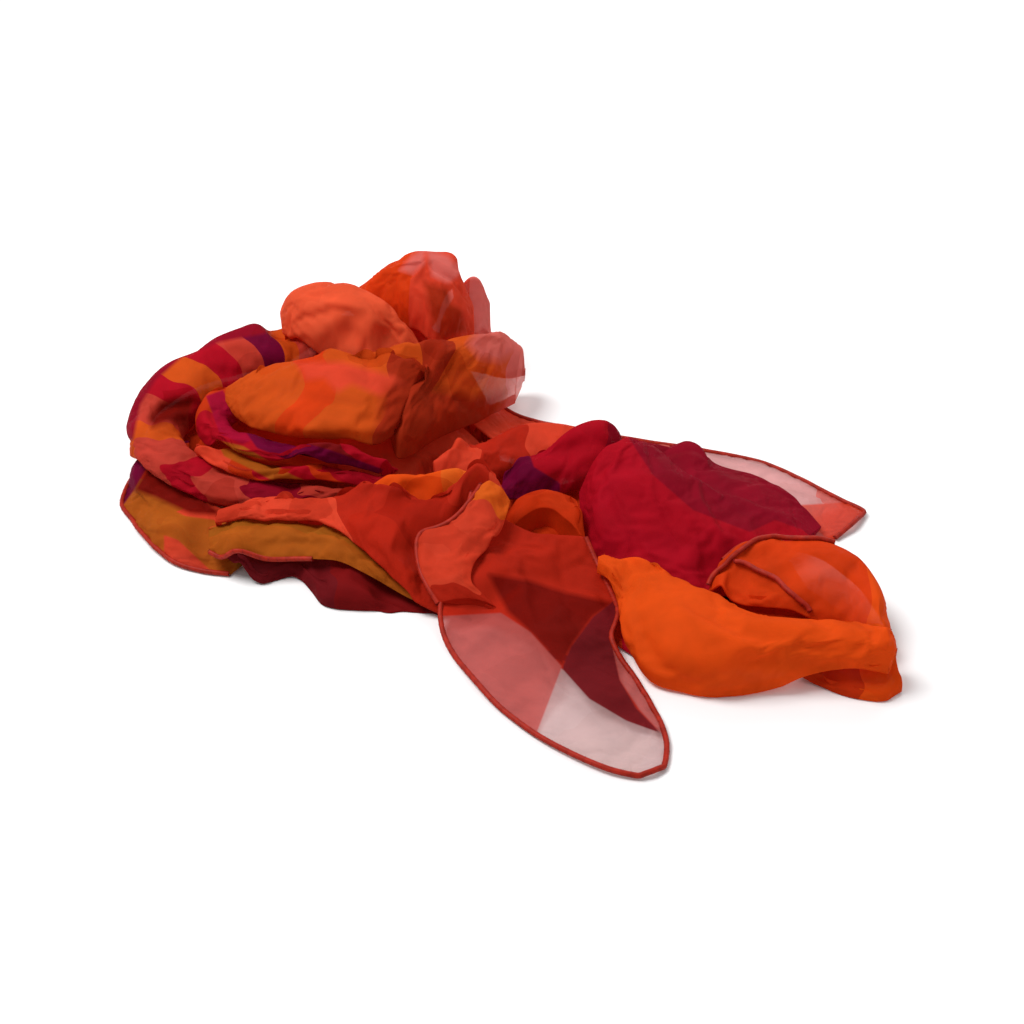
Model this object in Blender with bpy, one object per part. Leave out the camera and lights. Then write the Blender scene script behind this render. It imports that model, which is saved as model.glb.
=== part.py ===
"""A square silk chiffon scarf, dropped on a table in a loose heap, with a hand-rolled hem.

The scarf lies on the plane z = 0. Its hidden layers are one rounded solid, and each stretch of cloth that shows is a
thin wall laid over what was put down before it, from the bottom of the heap to the top. +X is the viewer's right, +Y
points away from the viewer and the origin is on the table, in the middle of the heap.
"""

import math

import bpy
import numpy as np

# ---- Driving sizes, in millimetres -----------------------------------------------------------------------------

MM = 0.001
WALL = 1.2  # one layer of cloth, as a wall
HEM = 3.0  # the rolled hem is a bead this thick
HEM_STEPS = ((3.4, WALL), (2.6, 2.3), (1.4, HEM), (0.0, 1.7))  # distance in from the edge, thickness there
GAP = 0.9  # air between a layer and what it lies on
TABLE_AIR = 0.35  # air between the table and the cloth that touches it
CELL = 2.5  # size of the squares on which the height of the heap is kept
REACH = 300.0  # half the width of that map
FOLD_STEPS = 7  # points on the path of a fold
LIFT_SPREAD = 2  # squares round a high spot that are lifted with it
HEAP_MIDDLE = (-14.5, 5.5)  # the middle of the heap in the tables below, moved to the origin

# ---- The stretches of cloth -------------------------------------------------------------------------------------
# A row is one section across the stretch: its near edge, its crest and its far edge.
# near x, near y, near z, crest x, crest y, crest z, far x, far y, far z

BACK_FLAP = (
    (-26, 72, 2, -18, 90, 4, -8, 110, 2),
    (20, 40, 2, 20, 64, 5, 21, 95, 2),
    (74, 8, 2, 72, 40, 7, 69, 78, 2),
    (114, -8, 2, 115, 24, 7, 116, 64, 2),
    (142, -22, 2, 147, 8, 6, 156, 46, 2),
    (166, -29, 2, 174, -5, 5, 185, 18, 2),
    (182, -28, 2, 194, -17, 4, 204, -3, 2),
)
GOLD_SKIRT = (
    (-223, 60, 2, -212, 50, 15, -196, 54, 14),
    (-229, 32, 2, -214, 24, 18, -190, 26, 16),
    (-229, 8, 2, -212, 2, 18, -182, 6, 14),
    (-220, -7, 2, -201, -12, 15, -174, -6, 12),
    (-205, -28, 2, -188, -26, 12, -160, -16, 11),
    (-188, -49, 2, -171, -43, 10, -146, -28, 10),
    (-170, -58, 2, -157, -51, 9, -134, -34, 9),
    (-154, -61, 3, -148, -52, 8, -128, -36, 8),
)
PLUM_FOLD = (
    (-156, -54, 1, -152, -48, 5, -146, -36, 3),
    (-146, -64, 1, -143, -55, 8, -136, -40, 4),
    (-134, -69, 1, -130, -59, 10, -124, -42, 4),
    (-118, -63, 1, -116, -57, 9, -110, -42, 4),
    (-102, -86, 1, -104, -73, 14, -98, -52, 3),
    (-86, -91, 1, -90, -75, 16, -90, -54, 3),
    (-66, -92, 1, -70, -79, 14, -70, -58, 3),
    (-43, -93, 1, -46, -84, 11, -46, -66, 3),
    (-22, -99, 1, -25, -92, 7, -24, -80, 2),
)
GOLD_FOLD = (
    (-164, -56, 4, -166, -46, 10, -168, -32, 6),
    (-147, -64, 3, -148, -48, 18, -148, -26, 8),
    (-118, -62, 3, -120, -46, 21, -121, -24, 8),
    (-92, -69, 3, -96, -54, 21, -96, -32, 8),
    (-68, -79, 2, -73, -70, 15, -70, -50, 6),
    (-50, -89, 2, -52, -84, 8, -46, -70, 4),
)
RING_ROLL = (
    (-96, 166, 8, -106, 146, 42, -112, 124, 26),
    (-126, 168, 8, -130, 144, 46, -128, 120, 26),
    (-172, 162, 6, -160, 136, 48, -148, 112, 26),
    (-208, 140, 6, -190, 118, 46, -170, 98, 22),
    (-229, 105, 5, -209, 87, 43, -189, 76, 20),
    (-232, 68, 5, -215, 55, 38, -198, 54, 18),
    (-225, 31, 6, -206, 22, 33, -190, 32, 18),
    (-200, 2, 6, -186, 0, 29, -172, 18, 16),
    (-160, -13, 8, -152, -5, 26, -142, 6, 16),
    (-114, -12, 6, -110, -5, 20, -104, 5, 12),
    (-74, -8, 4, -72, -2, 12, -70, 5, 6),
)
STRIPE_FOLD = (
    (-184, 20, 20, -172, 17, 36, -162, 28, 22),
    (-156, 0, 22, -149, 5, 32, -139, 18, 20),
    (-120, -2, 18, -116, 2, 26, -108, 12, 15),
    (-90, -3, 12, -88, 1, 18, -82, 8, 10),
    (-68, -2, 7, -67, 1, 12, -62, 6, 7),
)
SWIRL_FOLD = (
    (-150, 94, 28, -146, 82, 46, -144, 72, 32),
    (-180, 82, 26, -168, 68, 44, -160, 64, 30),
    (-190, 56, 26, -179, 46, 41, -168, 50, 28),
    (-178, 30, 26, -167, 26, 39, -158, 36, 28),
    (-146, 9, 27, -138, 14, 36, -128, 26, 26),
    (-106, 4, 22, -103, 9, 30, -97, 20, 20),
    (-76, 2, 13, -73, 6, 19, -67, 14, 12),
)
BACK_BAND = (
    (-40, 8, 6, -44, 14, 14, -46, 22, 8),
    (-24, 10, 5, -27, 20, 22, -32, 34, 8),
    (-8, 16, 4, -10, 30, 27, -12, 50, 6),
    (14, 26, 4, 11, 49, 26, 10, 68, 5),
    (38, 44, 4, 31, 54, 22, 34, 68, 4),
    (56, 48, 3, 54, 56, 16, 56, 66, 3),
)
CRIMSON_BACK = (
    (-8, -6, 4, -6, 2, 16, -2, 14, 10),
    (8, -6, 4, 10, 9, 31, 16, 26, 20),
    (30, -4, 6, 34, 18, 45, 40, 36, 24),
    (48, -4, 8, 53, 17, 51, 59, 38, 22),
    (62, -4, 12, 68, 10, 48, 76, 32, 20),
)
CRIMSON_FRONT = (
    (38, -10, 6, 62, 6, 45, 80, 36, 12),
    (39, -31, 2, 70, -8, 43, 100, 50, 8),
    (46, -56, 2, 81, -29, 38, 112, 56, 5),
    (72, -76, 2, 96, -40, 33, 122, 36, 3),
    (98, -88, 2, 112, -48, 27, 146, 24, 2),
    (118, -88, 3, 129, -55, 20, 162, 4, 2),
    (136, -80, 3, 147, -59, 12, 174, -24, 2),
)
LOOP = (
    (-8, -46, 2, 19, -28, 25, 40, -52, 2),
    (-7, -34, 2, 19, -24, 28, 39, -40, 2),
    (-2, -23, 2, 19, -19, 28, 37, -28, 2),
    (6, -15, 3, 19, -13, 23, 33, -17, 3),
)
BACK_TIP = (
    (-50, 194, 4, -49, 204, 18, -48, 218, 4),
    (-37, 188, 4, -36, 200, 44, -35, 222, 3),
    (-29, 190, 6, -28, 198, 54, -27, 213, 4),
    (-22, 192, 6, -21, 197, 51, -21, 210, 4),
    (-16, 194, 6, -15, 199, 34, -15, 208, 4),
)
TOP_PUFF = (
    (-148, 142, 22, -151, 156, 50, -147, 178, 12),
    (-138, 130, 24, -140, 149, 65, -140, 186, 20),
    (-112, 114, 26, -112, 140, 73, -112, 172, 34),
    (-86, 110, 26, -88, 133, 70, -88, 150, 46),
    (-68, 116, 28, -72, 128, 57, -73, 140, 42),
    (-56, 120, 32, -60, 126, 44, -61, 134, 38),
)
BACK_DOME = (
    (-104, 172, 36, -104, 182, 52, -106, 200, 8),
    (-84, 156, 48, -84, 172, 72, -86, 212, 3),
    (-66, 144, 44, -63, 166, 84, -64, 220, 2),
    (-48, 132, 36, -45, 162, 80, -47, 212, 6),
    (-34, 136, 30, -33, 161, 67, -37, 194, 24),
    (-25, 148, 22, -25, 162, 50, -28, 178, 24),
)
CENTRE_PUFF = (
    (-172, 61, 36, -172, 67, 40, -167, 75, 34),
    (-163, 45, 34, -156, 64, 49, -152, 81, 38),
    (-147, 32, 32, -134, 66, 56, -130, 86, 42),
    (-128, 24, 28, -112, 66, 61, -108, 82, 48),
    (-104, 17, 22, -88, 58, 61, -84, 74, 50),
    (-84, 13, 17, -72, 51, 60, -67, 68, 50),
    (-67, 19, 13, -57, 52, 58, -50, 64, 52),
)
CENTRE_LOBE = (
    (-108, 68, 46, -104, 78, 55, -101, 90, 46),
    (-90, 58, 44, -86, 76, 62, -82, 96, 46),
    (-74, 42, 36, -66, 76, 66, -60, 102, 42),
    (-66, 17, 14, -49, 76, 66, -42, 106, 36),
    (-48, 35, 11, -33, 87, 64, -26, 118, 28),
    (-28, 56, 9, -18, 100, 62, -12, 129, 18),
    (-12, 80, 8, -5, 113, 55, 0, 134, 14),
    (2, 102, 10, 6, 120, 41, 8, 134, 16),
)
FUNNEL_BACK = (
    (-86, -26, 16, -84, -18, 26, -86, -10, 18),
    (-72, -26, 16, -70, -14, 33, -70, -6, 22),
    (-50, -27, 16, -48, -14, 36, -48, -4, 20),
    (-32, -28, 18, -30, -14, 39, -30, -2, 18),
    (-20, -22, 28, -20, -16, 42, -18, -6, 26),
)
FRONT_FALL = (
    (-163, -36, 10, -162, -29, 14, -160, -20, 8),
    (-131, -38, 16, -134, -25, 21, -135, -16, 14),
    (-104, -42, 18, -108, -26, 25, -108, -15, 18),
    (-84, -60, 10, -82, -27, 29, -82, -16, 20),
    (-64, -80, 5, -60, -36, 30, -60, -27, 22),
    (-50, -92, 3, -38, -38, 32, -38, -28, 24),
    (-38, -96, 3, -21, -25, 43, -19, -14, 34),
    (-24, -97, 3, -8, -36, 36, -3, -24, 28),
)
FRONT_CORNER = (
    (-22, -36, 10, 12, -52, 22, 40, -54, 8),
    (-30, -66, 4, 8, -68, 19, 49, -77, 4),
    (-37, -94, 2, 6, -92, 15, 55, -104, 2),
    (-34, -118, 2, 10, -120, 11, 50, -124, 2),
    (-22, -142, 2, 18, -145, 8, 59, -143, 2),
    (-6, -167, 2, 32, -168, 6, 67, -165, 2),
    (16, -190, 2, 46, -190, 5, 72, -185, 2),
    (42, -208, 2, 58, -205, 4, 72, -199, 2),
    (58, -213, 2, 64, -211, 3, 70, -207, 2),
)
FOLD_OVER = (
    (-17, -36, 32, -9, -36, 36, -1, -39, 32),
    (-23, -46, 28, -13, -48, 32, -4, -52, 28),
    (-34, -53, 21, -21, -58, 27, -8, -62, 22),
    (-48, -56, 17, -31, -63, 24, -14, -69, 17),
    (-51, -65, 13, -35, -72, 19, -20, -78, 12),
    (-48, -80, 8, -34, -85, 13, -21, -90, 8),
    (-40, -98, 4, -26, -99, 9, -8, -100, 5),
)
RIGHT_HILL = (
    (103, -90, 4, 107, -81, 10, 112, -72, 8),
    (120, -102, 4, 123, -80, 20, 125, -64, 14),
    (144, -112, 4, 148, -82, 29, 147, -61, 19),
    (164, -120, 6, 171, -90, 31, 170, -64, 13),
    (180, -132, 8, 185, -110, 26, 188, -88, 7),
    (185, -144, 7, 189, -130, 16, 193, -114, 6),
)
RIGHT_LOOP = (
    (142, -146, 1, 146, -142, 4, 150, -130, 2),
    (160, -156, 1, 162, -149, 6, 166, -134, 3),
    (178, -162, 1, 178, -153, 8, 180, -136, 4),
    (191, -155, 1, 189, -150, 9, 188, -138, 5),
)
RIGHT_FLAP = (
    (45, -78, 6, 46, -74, 14, 50, -67, 8),
    (54, -99, 2, 60, -92, 22, 69, -73, 12),
    (55, -127, 1, 72, -114, 27, 88, -87, 14),
    (68, -152, 1, 91, -134, 29, 107, -108, 16),
    (96, -160, 1, 113, -146, 29, 126, -121, 18),
    (122, -158, 3, 137, -148, 30, 149, -127, 20),
    (146, -153, 11, 160, -149, 30, 170, -130, 22),
    (167, -154, 15, 177, -152, 28, 184, -138, 20),
    (182, -155, 11, 185, -152, 19, 188, -145, 13),
)

# The largest folds inside a stretch, as soft ridges, or troughs where the height is below zero.
# from section, from across (-1 near edge, 0 crest, 1 far edge), to section, to across, half width, height
FOLDS = {
    "back_flap": ((0.5, 0.5, 5.5, 0.2, 12, 3), (2.0, -0.2, 5.0, 0.7, 9, -2)),
    "gold_skirt": ((1.2, -0.9, 4.0, 0.4, 9, -5), (3.2, -0.9, 5.0, 0.6, 10, 4), (0.4, -0.6, 2.4, 0.2, 9, 3)),
    "gold_fold": ((0.6, -0.3, 3.5, -0.5, 7, -3),),
    "plum_fold": ((3.6, -0.9, 4.4, 0.4, 7, -4),),
    "ring_roll": ((2.0, -0.7, 4.6, 0.3, 10, -4), (4.0, -0.8, 7.0, -0.1, 9, 3), (7.0, -0.5, 9.5, 0.3, 8, -3)),
    "stripe_fold": ((0.4, 0.6, 3.2, -0.2, 6, -4),),
    "swirl_fold": ((0.6, -0.1, 3.0, 0.4, 6, -4), (3.4, -0.6, 5.6, 0.2, 6, 3)),
    "back_band": ((1.6, -0.6, 3.8, 0.2, 8, -4), (2.4, 0.5, 4.4, 0.1, 7, 3)),
    "crimson_back": ((0.6, 0.2, 2.4, -0.6, 9, -5), (2.0, -0.4, 4.0, -0.3, 8, -3)),
    "crimson_front": (
        (0.2, -0.4, 2.6, -0.7, 11, 4),
        (0.6, 0.45, 4.4, 0.5, 13, -5),
        (2.0, -0.2, 4.4, -0.6, 9, -3),
        (1.2, 0.7, 3.0, 0.6, 11, 9),
    ),
    "top_puff": (
        (0.8, -0.1, 3.4, 0.1, 9, -4),
        (2.0, -0.9, 2.5, -0.4, 8, -7),
        (3.2, -0.9, 3.4, -0.4, 7, -7),
        (1.2, 0.5, 4.0, 0.3, 12, 5),
    ),
    "back_dome": ((1.4, -0.1, 3.2, -0.5, 9, -4), (2.6, 0.6, 4.2, -0.3, 9, 4)),
    "centre_puff": (
        (1.0, -0.35, 4.0, -0.4, 12, -4),
        (2.4, -0.8, 5.0, -0.75, 9, 4),
        (4.6, -0.9, 5.6, -0.2, 11, -4),
        (1.0, -0.1, 3.0, -0.12, 8, 3),
        (1.2, 0.4, 5.4, 0.4, 6, 2),
    ),
    "centre_lobe": ((3.7, 0.0, 2.8, -0.5, 7, 4), (4.6, -0.1, 3.8, -0.6, 10, -5), (5.6, 0.2, 5.0, -0.6, 8, -3)),
    "funnel_back": ((1.6, -0.9, 2.0, 0.0, 8, -5),),
    "front_fall": (
        (2.4, -0.2, 5.0, -0.7, 10, 4),
        (4.6, -0.1, 4.8, -0.6, 10, -5),
        (6.2, -0.1, 5.4, -0.8, 7, 4),
        (0.8, -0.6, 3.0, -0.4, 7, -3),
    ),
    "front_corner": (
        (0.4, -0.3, 3.4, -0.5, 11, 5),
        (0.6, 0.4, 4.0, 0.5, 12, -4),
        (1.6, 0.0, 5.6, 0.3, 10, 3),
    ),
    "right_hill": ((1.2, -0.1, 3.8, -0.4, 9, -5), (1.4, 0.5, 4.2, 0.2, 8, 3)),
    "right_flap": (
        (0.8, -0.1, 3.6, -0.75, 12, -4),
        (2.0, 0.5, 6.5, 0.1, 11, 3),
        (4.0, -0.6, 6.6, -0.2, 9, -4),
    ),
}

# name, sections, cells between sections, cells across, near turn and far turn under in degrees, near flare, far flare,
# hemmed sides, colour. A flare of 0 is a round fold and of 1 lies down flat at the edge.
LAYERS = (
    ("back_flap", BACK_FLAP, 2, 8, 0, 0, 1.0, 1.0, ("far", "end"), "sheer_pink"),
    ("gold_skirt", GOLD_SKIRT, 2, 7, 0, 0, 0.6, 0.3, ("near",), "gold"),
    ("plum_fold", PLUM_FOLD, 2, 8, 0, 0, 0.0, 0.2, (), "plum"),
    ("gold_fold", GOLD_FOLD, 2, 7, 0, 0, 0.3, 0.2, ("near",), "gold"),
    ("ring_roll", RING_ROLL, 3, 9, 0, 0, 0.0, 0.0, (), "coral"),
    ("stripe_fold", STRIPE_FOLD, 3, 7, 0, 0, 0.0, 0.0, (), "crimson"),
    ("swirl_fold", SWIRL_FOLD, 3, 7, 0, 0, 0.0, 0.0, (), "crimson"),
    ("back_band", BACK_BAND, 3, 8, 0, 0, 0.0, 0.3, (), "coral"),
    ("crimson_back", CRIMSON_BACK, 3, 10, 0, 0, 0.2, 0.4, (), "burgundy"),
    ("crimson_front", CRIMSON_FRONT, 3, 11, 0, 0, 0.4, 0.6, (), "crimson"),
    ("loop", LOOP, 3, 11, 0, 0, 0.0, 0.0, (), "orange"),
    ("back_tip", BACK_TIP, 3, 6, 0, 0, 0.3, 0.3, ("end",), "sheer_pink"),
    ("top_puff", TOP_PUFF, 3, 11, 0, 0, 0.0, 0.2, (), "orange"),
    ("back_dome", BACK_DOME, 3, 10, 0, 0, 0.0, 0.2, (), "orange"),
    ("centre_lobe", CENTRE_LOBE, 2, 9, 0, 0, 0.2, 0.0, (), "orange"),
    ("centre_puff", CENTRE_PUFF, 2, 11, 0, 0, 0.0, 0.0, (), "orange"),
    ("funnel_back", FUNNEL_BACK, 3, 7, 0, 0, 0.2, 0.2, (), "orange"),
    ("front_fall", FRONT_FALL, 2, 9, 0, 0, 0.3, 0.2, (), "coral"),
    ("front_corner", FRONT_CORNER, 2, 8, 0, 0, 0.7, 0.7, ("near", "far", "end"), "sheer_pink"),
    ("fold_over", FOLD_OVER, 2, 6, 0, 0, 0.5, 0.5, ("near",), "coral"),
    ("right_hill", RIGHT_HILL, 3, 9, 0, 0, 0.2, 0.2, ("far",), "orange"),
    ("right_loop", RIGHT_LOOP, 3, 6, 0, 0, 0.0, 0.5, (), "orange"),
    ("right_flap", RIGHT_FLAP, 2, 10, 20, 0, 0.0, 0.0, (), "orange"),
)

# The hidden layers: rounded mounds that the visible cloth lies on.
# x, y, reach along, reach across, turn in degrees, height
MOUNDS = (
    (-152, 62, 74, 62, 20, 24),
    (-90, 60, 84, 54, 0, 32),
    (-84, 156, 58, 58, 0, 42),
    (-62, 112, 48, 62, 0, 36),
    (-110, -26, 64, 36, -10, 12),
    (-30, 10, 70, 48, 0, 16),
    (78, -14, 62, 34, -30, 24),
    (126, -46, 48, 26, -40, 10),
    (4, -76, 36, 50, 8, 7),
    (20, -34, 24, 22, 0, 18),
    (84, -114, 42, 34, -20, 12),
    (144, -108, 42, 38, -30, 16),
)
CORE_SPOKES = 48
CORE_RINGS = 8
CORE_RIM = 5.4  # height of the layered edge
CORE_RIM_LAYERS = 3
CORE_RIM_STEP = 1.6  # how far the grooves between the layers go in

COLOURS = {
    "orange": (0.68, 0.10, 0.02),
    "coral": (0.60, 0.06, 0.025),
    "sheer_pink": (0.58, 0.20, 0.17),
    "gold": (0.50, 0.16, 0.03),
    "plum": (0.16, 0.03, 0.04),
    "crimson": (0.42, 0.015, 0.03),
    "burgundy": (0.20, 0.015, 0.03),
}


# ---- Cloth sections ---------------------------------------------------------------------------------------------


def row_at(rows, place):
    """The table's row at a place between its rows, on a smooth curve through each (Catmull-Rom)."""
    padded = np.vstack((2 * rows[0] - rows[1], rows, 2 * rows[-1] - rows[-2]))
    i = min(int(place), len(rows) - 2)
    t = place - i
    p0, p1, p2, p3 = padded[i : i + 4]
    bend = 2 * p0 - 5 * p1 + 4 * p2 - p3
    return 0.5 * (2 * p1 + (p2 - p0) * t + bend * t**2 + (3 * p1 - p0 - 3 * p2 + p3) * t**3)


def section_point(row, across, turns, flares):
    """A point of a section, across = -1 at its near edge, 0 at its crest and 1 at its far edge."""
    far = int(across > 0)
    crest, edge = row[3:6], row[6:9] if far else row[0:3]
    full = math.radians(90 + turns[far])
    share, flare = abs(across), flares[far]
    out = math.sin(share * full) * (1 - flare) + share * flare
    down_round = (1 - math.cos(share * full)) / (1 - math.cos(full))
    down = down_round * (1 - flare) + share * share * (3 - 2 * share) * flare
    point = crest + (edge - crest) * out
    point[2] = crest[2] + (edge[2] - crest[2]) * down
    return point


def near_path(points, path):
    """How far each point is from a path, and how far along the path the nearest place is, from 0 to 1."""
    best = np.full(points.shape[:2], 1e9)
    place = np.zeros(points.shape[:2])
    for k, (a, b) in enumerate(zip(path[:-1], path[1:])):
        run = b - a
        t = np.clip(((points - a) @ run) / (run @ run), 0, 1)
        gap = np.linalg.norm(points - (a + t[..., None] * run), axis=2)
        closer = gap < best
        best[closer] = gap[closer]
        place[closer] = (k + t[closer]) / (len(path) - 1)
    return best, place


def cloth_sheet(name, rows, cells_along, cells_across, turns, flares):
    """The middle surface of a stretch with its largest folds, as a grid of points [along][across]."""
    rows = np.array(rows, dtype=float) - np.array((*HEAP_MIDDLE, 0.0) * 3)
    places = np.linspace(0, len(rows) - 1, (len(rows) - 1) * cells_along + 1)
    acrosses = np.linspace(-1, 1, cells_across + 1)
    grid = np.array([[section_point(row_at(rows, p), a, turns, flares) for a in acrosses] for p in places])
    up = normals(grid)
    if up[..., 2].mean() < 0:
        up = -up
    push = np.zeros(grid.shape[:2])
    for start, start_across, end, end_across, half_width, height in FOLDS.get(name, ()):
        steps = np.linspace(0, 1, FOLD_STEPS)
        path = [
            section_point(
                row_at(rows, start + (end - start) * k), start_across + (end_across - start_across) * k, turns, flares
            )
            for k in steps
        ]
        gap, place = near_path(grid, path)
        push += height * np.exp(-((gap / half_width) ** 2)) * np.sin(np.pi * (0.1 + 0.8 * place))
    return grid + up * push[..., None]


def resample(line, distances):
    """Points of a polyline at some distances from its first point."""
    steps = np.linalg.norm(np.diff(line, axis=0), axis=1)
    at = np.concatenate(([0.0], np.cumsum(steps)))
    return np.stack([np.interp(distances, at, line[:, k]) for k in range(3)], axis=-1)


def hem_line(line):
    """A line that starts at a hemmed edge, with narrow steps over the bead and its other points moved in."""
    steps = np.linalg.norm(np.diff(line, axis=0), axis=1)
    at = np.concatenate(([0.0], np.cumsum(steps)))
    bead = [d for d, _ in reversed(HEM_STEPS)]
    inner = bead[-1] + (at[-1] - bead[-1]) * at[1:] / at[-1]
    return resample(line, np.concatenate((bead, inner)))


def add_hem(grid, thickness, hemmed):
    """Puts narrow rows of points along each hemmed side, thick enough for a rolled bead."""
    for name in hemmed:
        flip = name in ("far", "end")
        along_side = name in ("near", "far")
        if along_side:
            grid, thickness = grid.transpose(1, 0, 2), thickness.T
        if flip:
            grid, thickness = grid[::-1], thickness[::-1]
        grid = np.stack([hem_line(grid[:, k]) for k in range(grid.shape[1])], axis=1)
        bead = np.array([np.maximum(thickness[0], t) for _, t in reversed(HEM_STEPS)])
        thickness = np.vstack((bead, thickness[1:]))
        if flip:
            grid, thickness = grid[::-1], thickness[::-1]
        if along_side:
            grid, thickness = grid.transpose(1, 0, 2), thickness.T
    return grid, thickness


# ---- Laying one stretch on what is already there ----------------------------------------------------------------

MAP_SIZE = int(2 * REACH / CELL)


def map_cells(points):
    """The map square that each point stands over."""
    cells = np.floor((points[..., :2] + REACH) / CELL).astype(int)
    return np.clip(cells, 0, MAP_SIZE - 1)


def dense(grid, step=CELL * 0.6):
    """Points all over a grid's faces, about a step apart."""
    along = np.linalg.norm(np.diff(grid, axis=0), axis=2).max()
    across = np.linalg.norm(np.diff(grid, axis=1), axis=2).max()
    points = []
    for u in np.linspace(0, 1, max(2, int(along / step) + 1)):
        for v in np.linspace(0, 1, max(2, int(across / step) + 1)):
            near_edge = grid[:-1, :-1] * (1 - v) + grid[:-1, 1:] * v
            far_edge = grid[1:, :-1] * (1 - v) + grid[1:, 1:] * v
            points.append((near_edge * (1 - u) + far_edge * u).reshape(-1, 3))
    return np.vstack(points)


def spread(field, times=1):
    """Each square takes the highest value of its neighbours."""
    for _ in range(times):
        wide = np.pad(field, 1, mode="edge")
        field = np.max([wide[i : i + MAP_SIZE, j : j + MAP_SIZE] for i in range(3) for j in range(3)], axis=0)
    return field


def blur(field):
    """Each square takes the mean of its neighbours."""
    wide = np.pad(field, 1, mode="edge")
    return np.mean([wide[i : i + MAP_SIZE, j : j + MAP_SIZE] for i in range(3) for j in range(3)], axis=0)


def soft_cover(need, times):
    """A smooth field that is nowhere less than what is needed."""
    cover = need
    for _ in range(times):
        cover = np.maximum(need, blur(blur(cover)))
    return cover


def press_down(grid, ceiling):
    """Pushes the hidden parts of a sheet under what will lie on it, as the weight above flattens them."""
    samples = dense(grid)
    cells = map_cells(samples)
    low = -spread(-ceiling)
    over = samples[:, 2] + WALL + GAP - low[cells[:, 0], cells[:, 1]]
    need = np.zeros((MAP_SIZE, MAP_SIZE))
    np.maximum.at(need, (cells[:, 0], cells[:, 1]), over)
    press = soft_cover(spread(need), 2)
    cells = map_cells(grid)
    grid = grid.copy()
    grid[..., 2] = np.maximum(grid[..., 2] - press[cells[..., 0], cells[..., 1]], TABLE_AIR + WALL / 2)
    return grid


def lower_ceiling(grid, ceiling):
    """Writes the underside of a sheet's middle, without its falling edges, into the map of what lies above."""
    margin = max(1, grid.shape[1] // 5)
    samples = dense(grid[:, margin:-margin])
    cells = map_cells(samples)
    np.minimum.at(ceiling, (cells[:, 0], cells[:, 1]), samples[:, 2])


def floor_under(points, heap):
    """The lowest that cloth may lie at some points, on the heap or on the table."""
    cells = map_cells(points)
    below = spread(heap)[cells[..., 0], cells[..., 1]]
    return np.where(below > 0, below + GAP + WALL / 2, TABLE_AIR + WALL / 2)


def rest_edges(grid, heap):
    """Ends each section's two sides on what is under them, and keeps its crest where it is."""
    grid = grid.copy()
    crest = grid[:, :, 2].argmax(axis=1)
    for edge in (0, grid.shape[1] - 1):
        floor = floor_under(grid[:, edge], heap)
        for _ in range(2):
            beside = np.pad(floor, 1, mode="edge")
            floor = np.maximum(floor, (beside[:-2] + beside[2:]) / 2)
        for i, top in enumerate(crest):
            side_points = slice(0, top) if edge == 0 else slice(top + 1, None)
            crest_z, edge_z = grid[i, top, 2], grid[i, edge, 2]
            if edge_z < floor[i] < crest_z - WALL:
                drop = crest_z - grid[i, side_points, 2]
                grid[i, side_points, 2] = crest_z - drop * (crest_z - floor[i]) / (crest_z - edge_z)
    return grid


def lay_down(grid, thickness, heap):
    """Lifts a sheet clear of the heap and the table, by a soft amount that depends only on where it is."""
    samples = dense(grid)
    cells = map_cells(samples)
    need = np.zeros((MAP_SIZE, MAP_SIZE))
    np.maximum.at(need, (cells[:, 0], cells[:, 1]), floor_under(samples, heap) - samples[:, 2])
    lift = soft_cover(spread(need, LIFT_SPREAD), 4)
    cells = map_cells(grid)
    grid = grid.copy()
    grid[..., 2] += lift[cells[..., 0], cells[..., 1]]
    grid[..., 2] = np.maximum(grid[..., 2], TABLE_AIR + thickness / 2)
    return grid


def add_to_heap(grid, heap, rise):
    """Writes the top of a sheet into the map of heights."""
    samples = dense(grid)
    cells = map_cells(samples)
    np.maximum.at(heap, (cells[:, 0], cells[:, 1]), samples[:, 2] + rise)


# ---- Solids -----------------------------------------------------------------------------------------------------


def normals(grid):
    """Unit normals at the points of a grid."""
    along = np.gradient(grid, axis=0)
    across = np.gradient(grid, axis=1)
    out = np.cross(along, across)
    return out / np.maximum(np.linalg.norm(out, axis=2, keepdims=True), 1e-9)


def wall_faces(rows, columns):
    """Faces of a closed wall with two skins of rows x columns points."""
    count = rows * columns
    faces = []
    for i in range(rows - 1):
        for j in range(columns - 1):
            a = i * columns + j
            faces.append((a, a + columns, a + columns + 1, a + 1))
            faces.append((count + a, count + a + 1, count + a + columns + 1, count + a + columns))
    edge = [j for j in range(columns)]
    edge += [i * columns + columns - 1 for i in range(1, rows)]
    edge += [(rows - 1) * columns + j for j in range(columns - 2, -1, -1)]
    edge += [i * columns for i in range(rows - 2, 0, -1)]
    for a, b in zip(edge, edge[1:] + edge[:1]):
        faces.append((a, b, count + b, count + a))
    return faces


def make_object(name, points, faces, colour):
    """A named mesh object with its own plain material; points are in millimetres."""
    mesh = bpy.data.meshes.new(name)
    mesh.from_pydata([tuple(p * MM) for p in points], [], faces)
    mesh.validate()
    mesh.update()
    material = bpy.data.materials.new(f"{name}_silk")
    material.use_nodes = True
    shader = material.node_tree.nodes["Principled BSDF"]
    shader.inputs["Base Color"].default_value = (*COLOURS[colour], 1.0)
    shader.inputs["Roughness"].default_value = 0.55
    shader.inputs["Metallic"].default_value = 0.0
    mesh.materials.append(material)
    mesh.shade_smooth()
    item = bpy.data.objects.new(name, mesh)
    bpy.context.scene.collection.objects.link(item)
    return item


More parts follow.
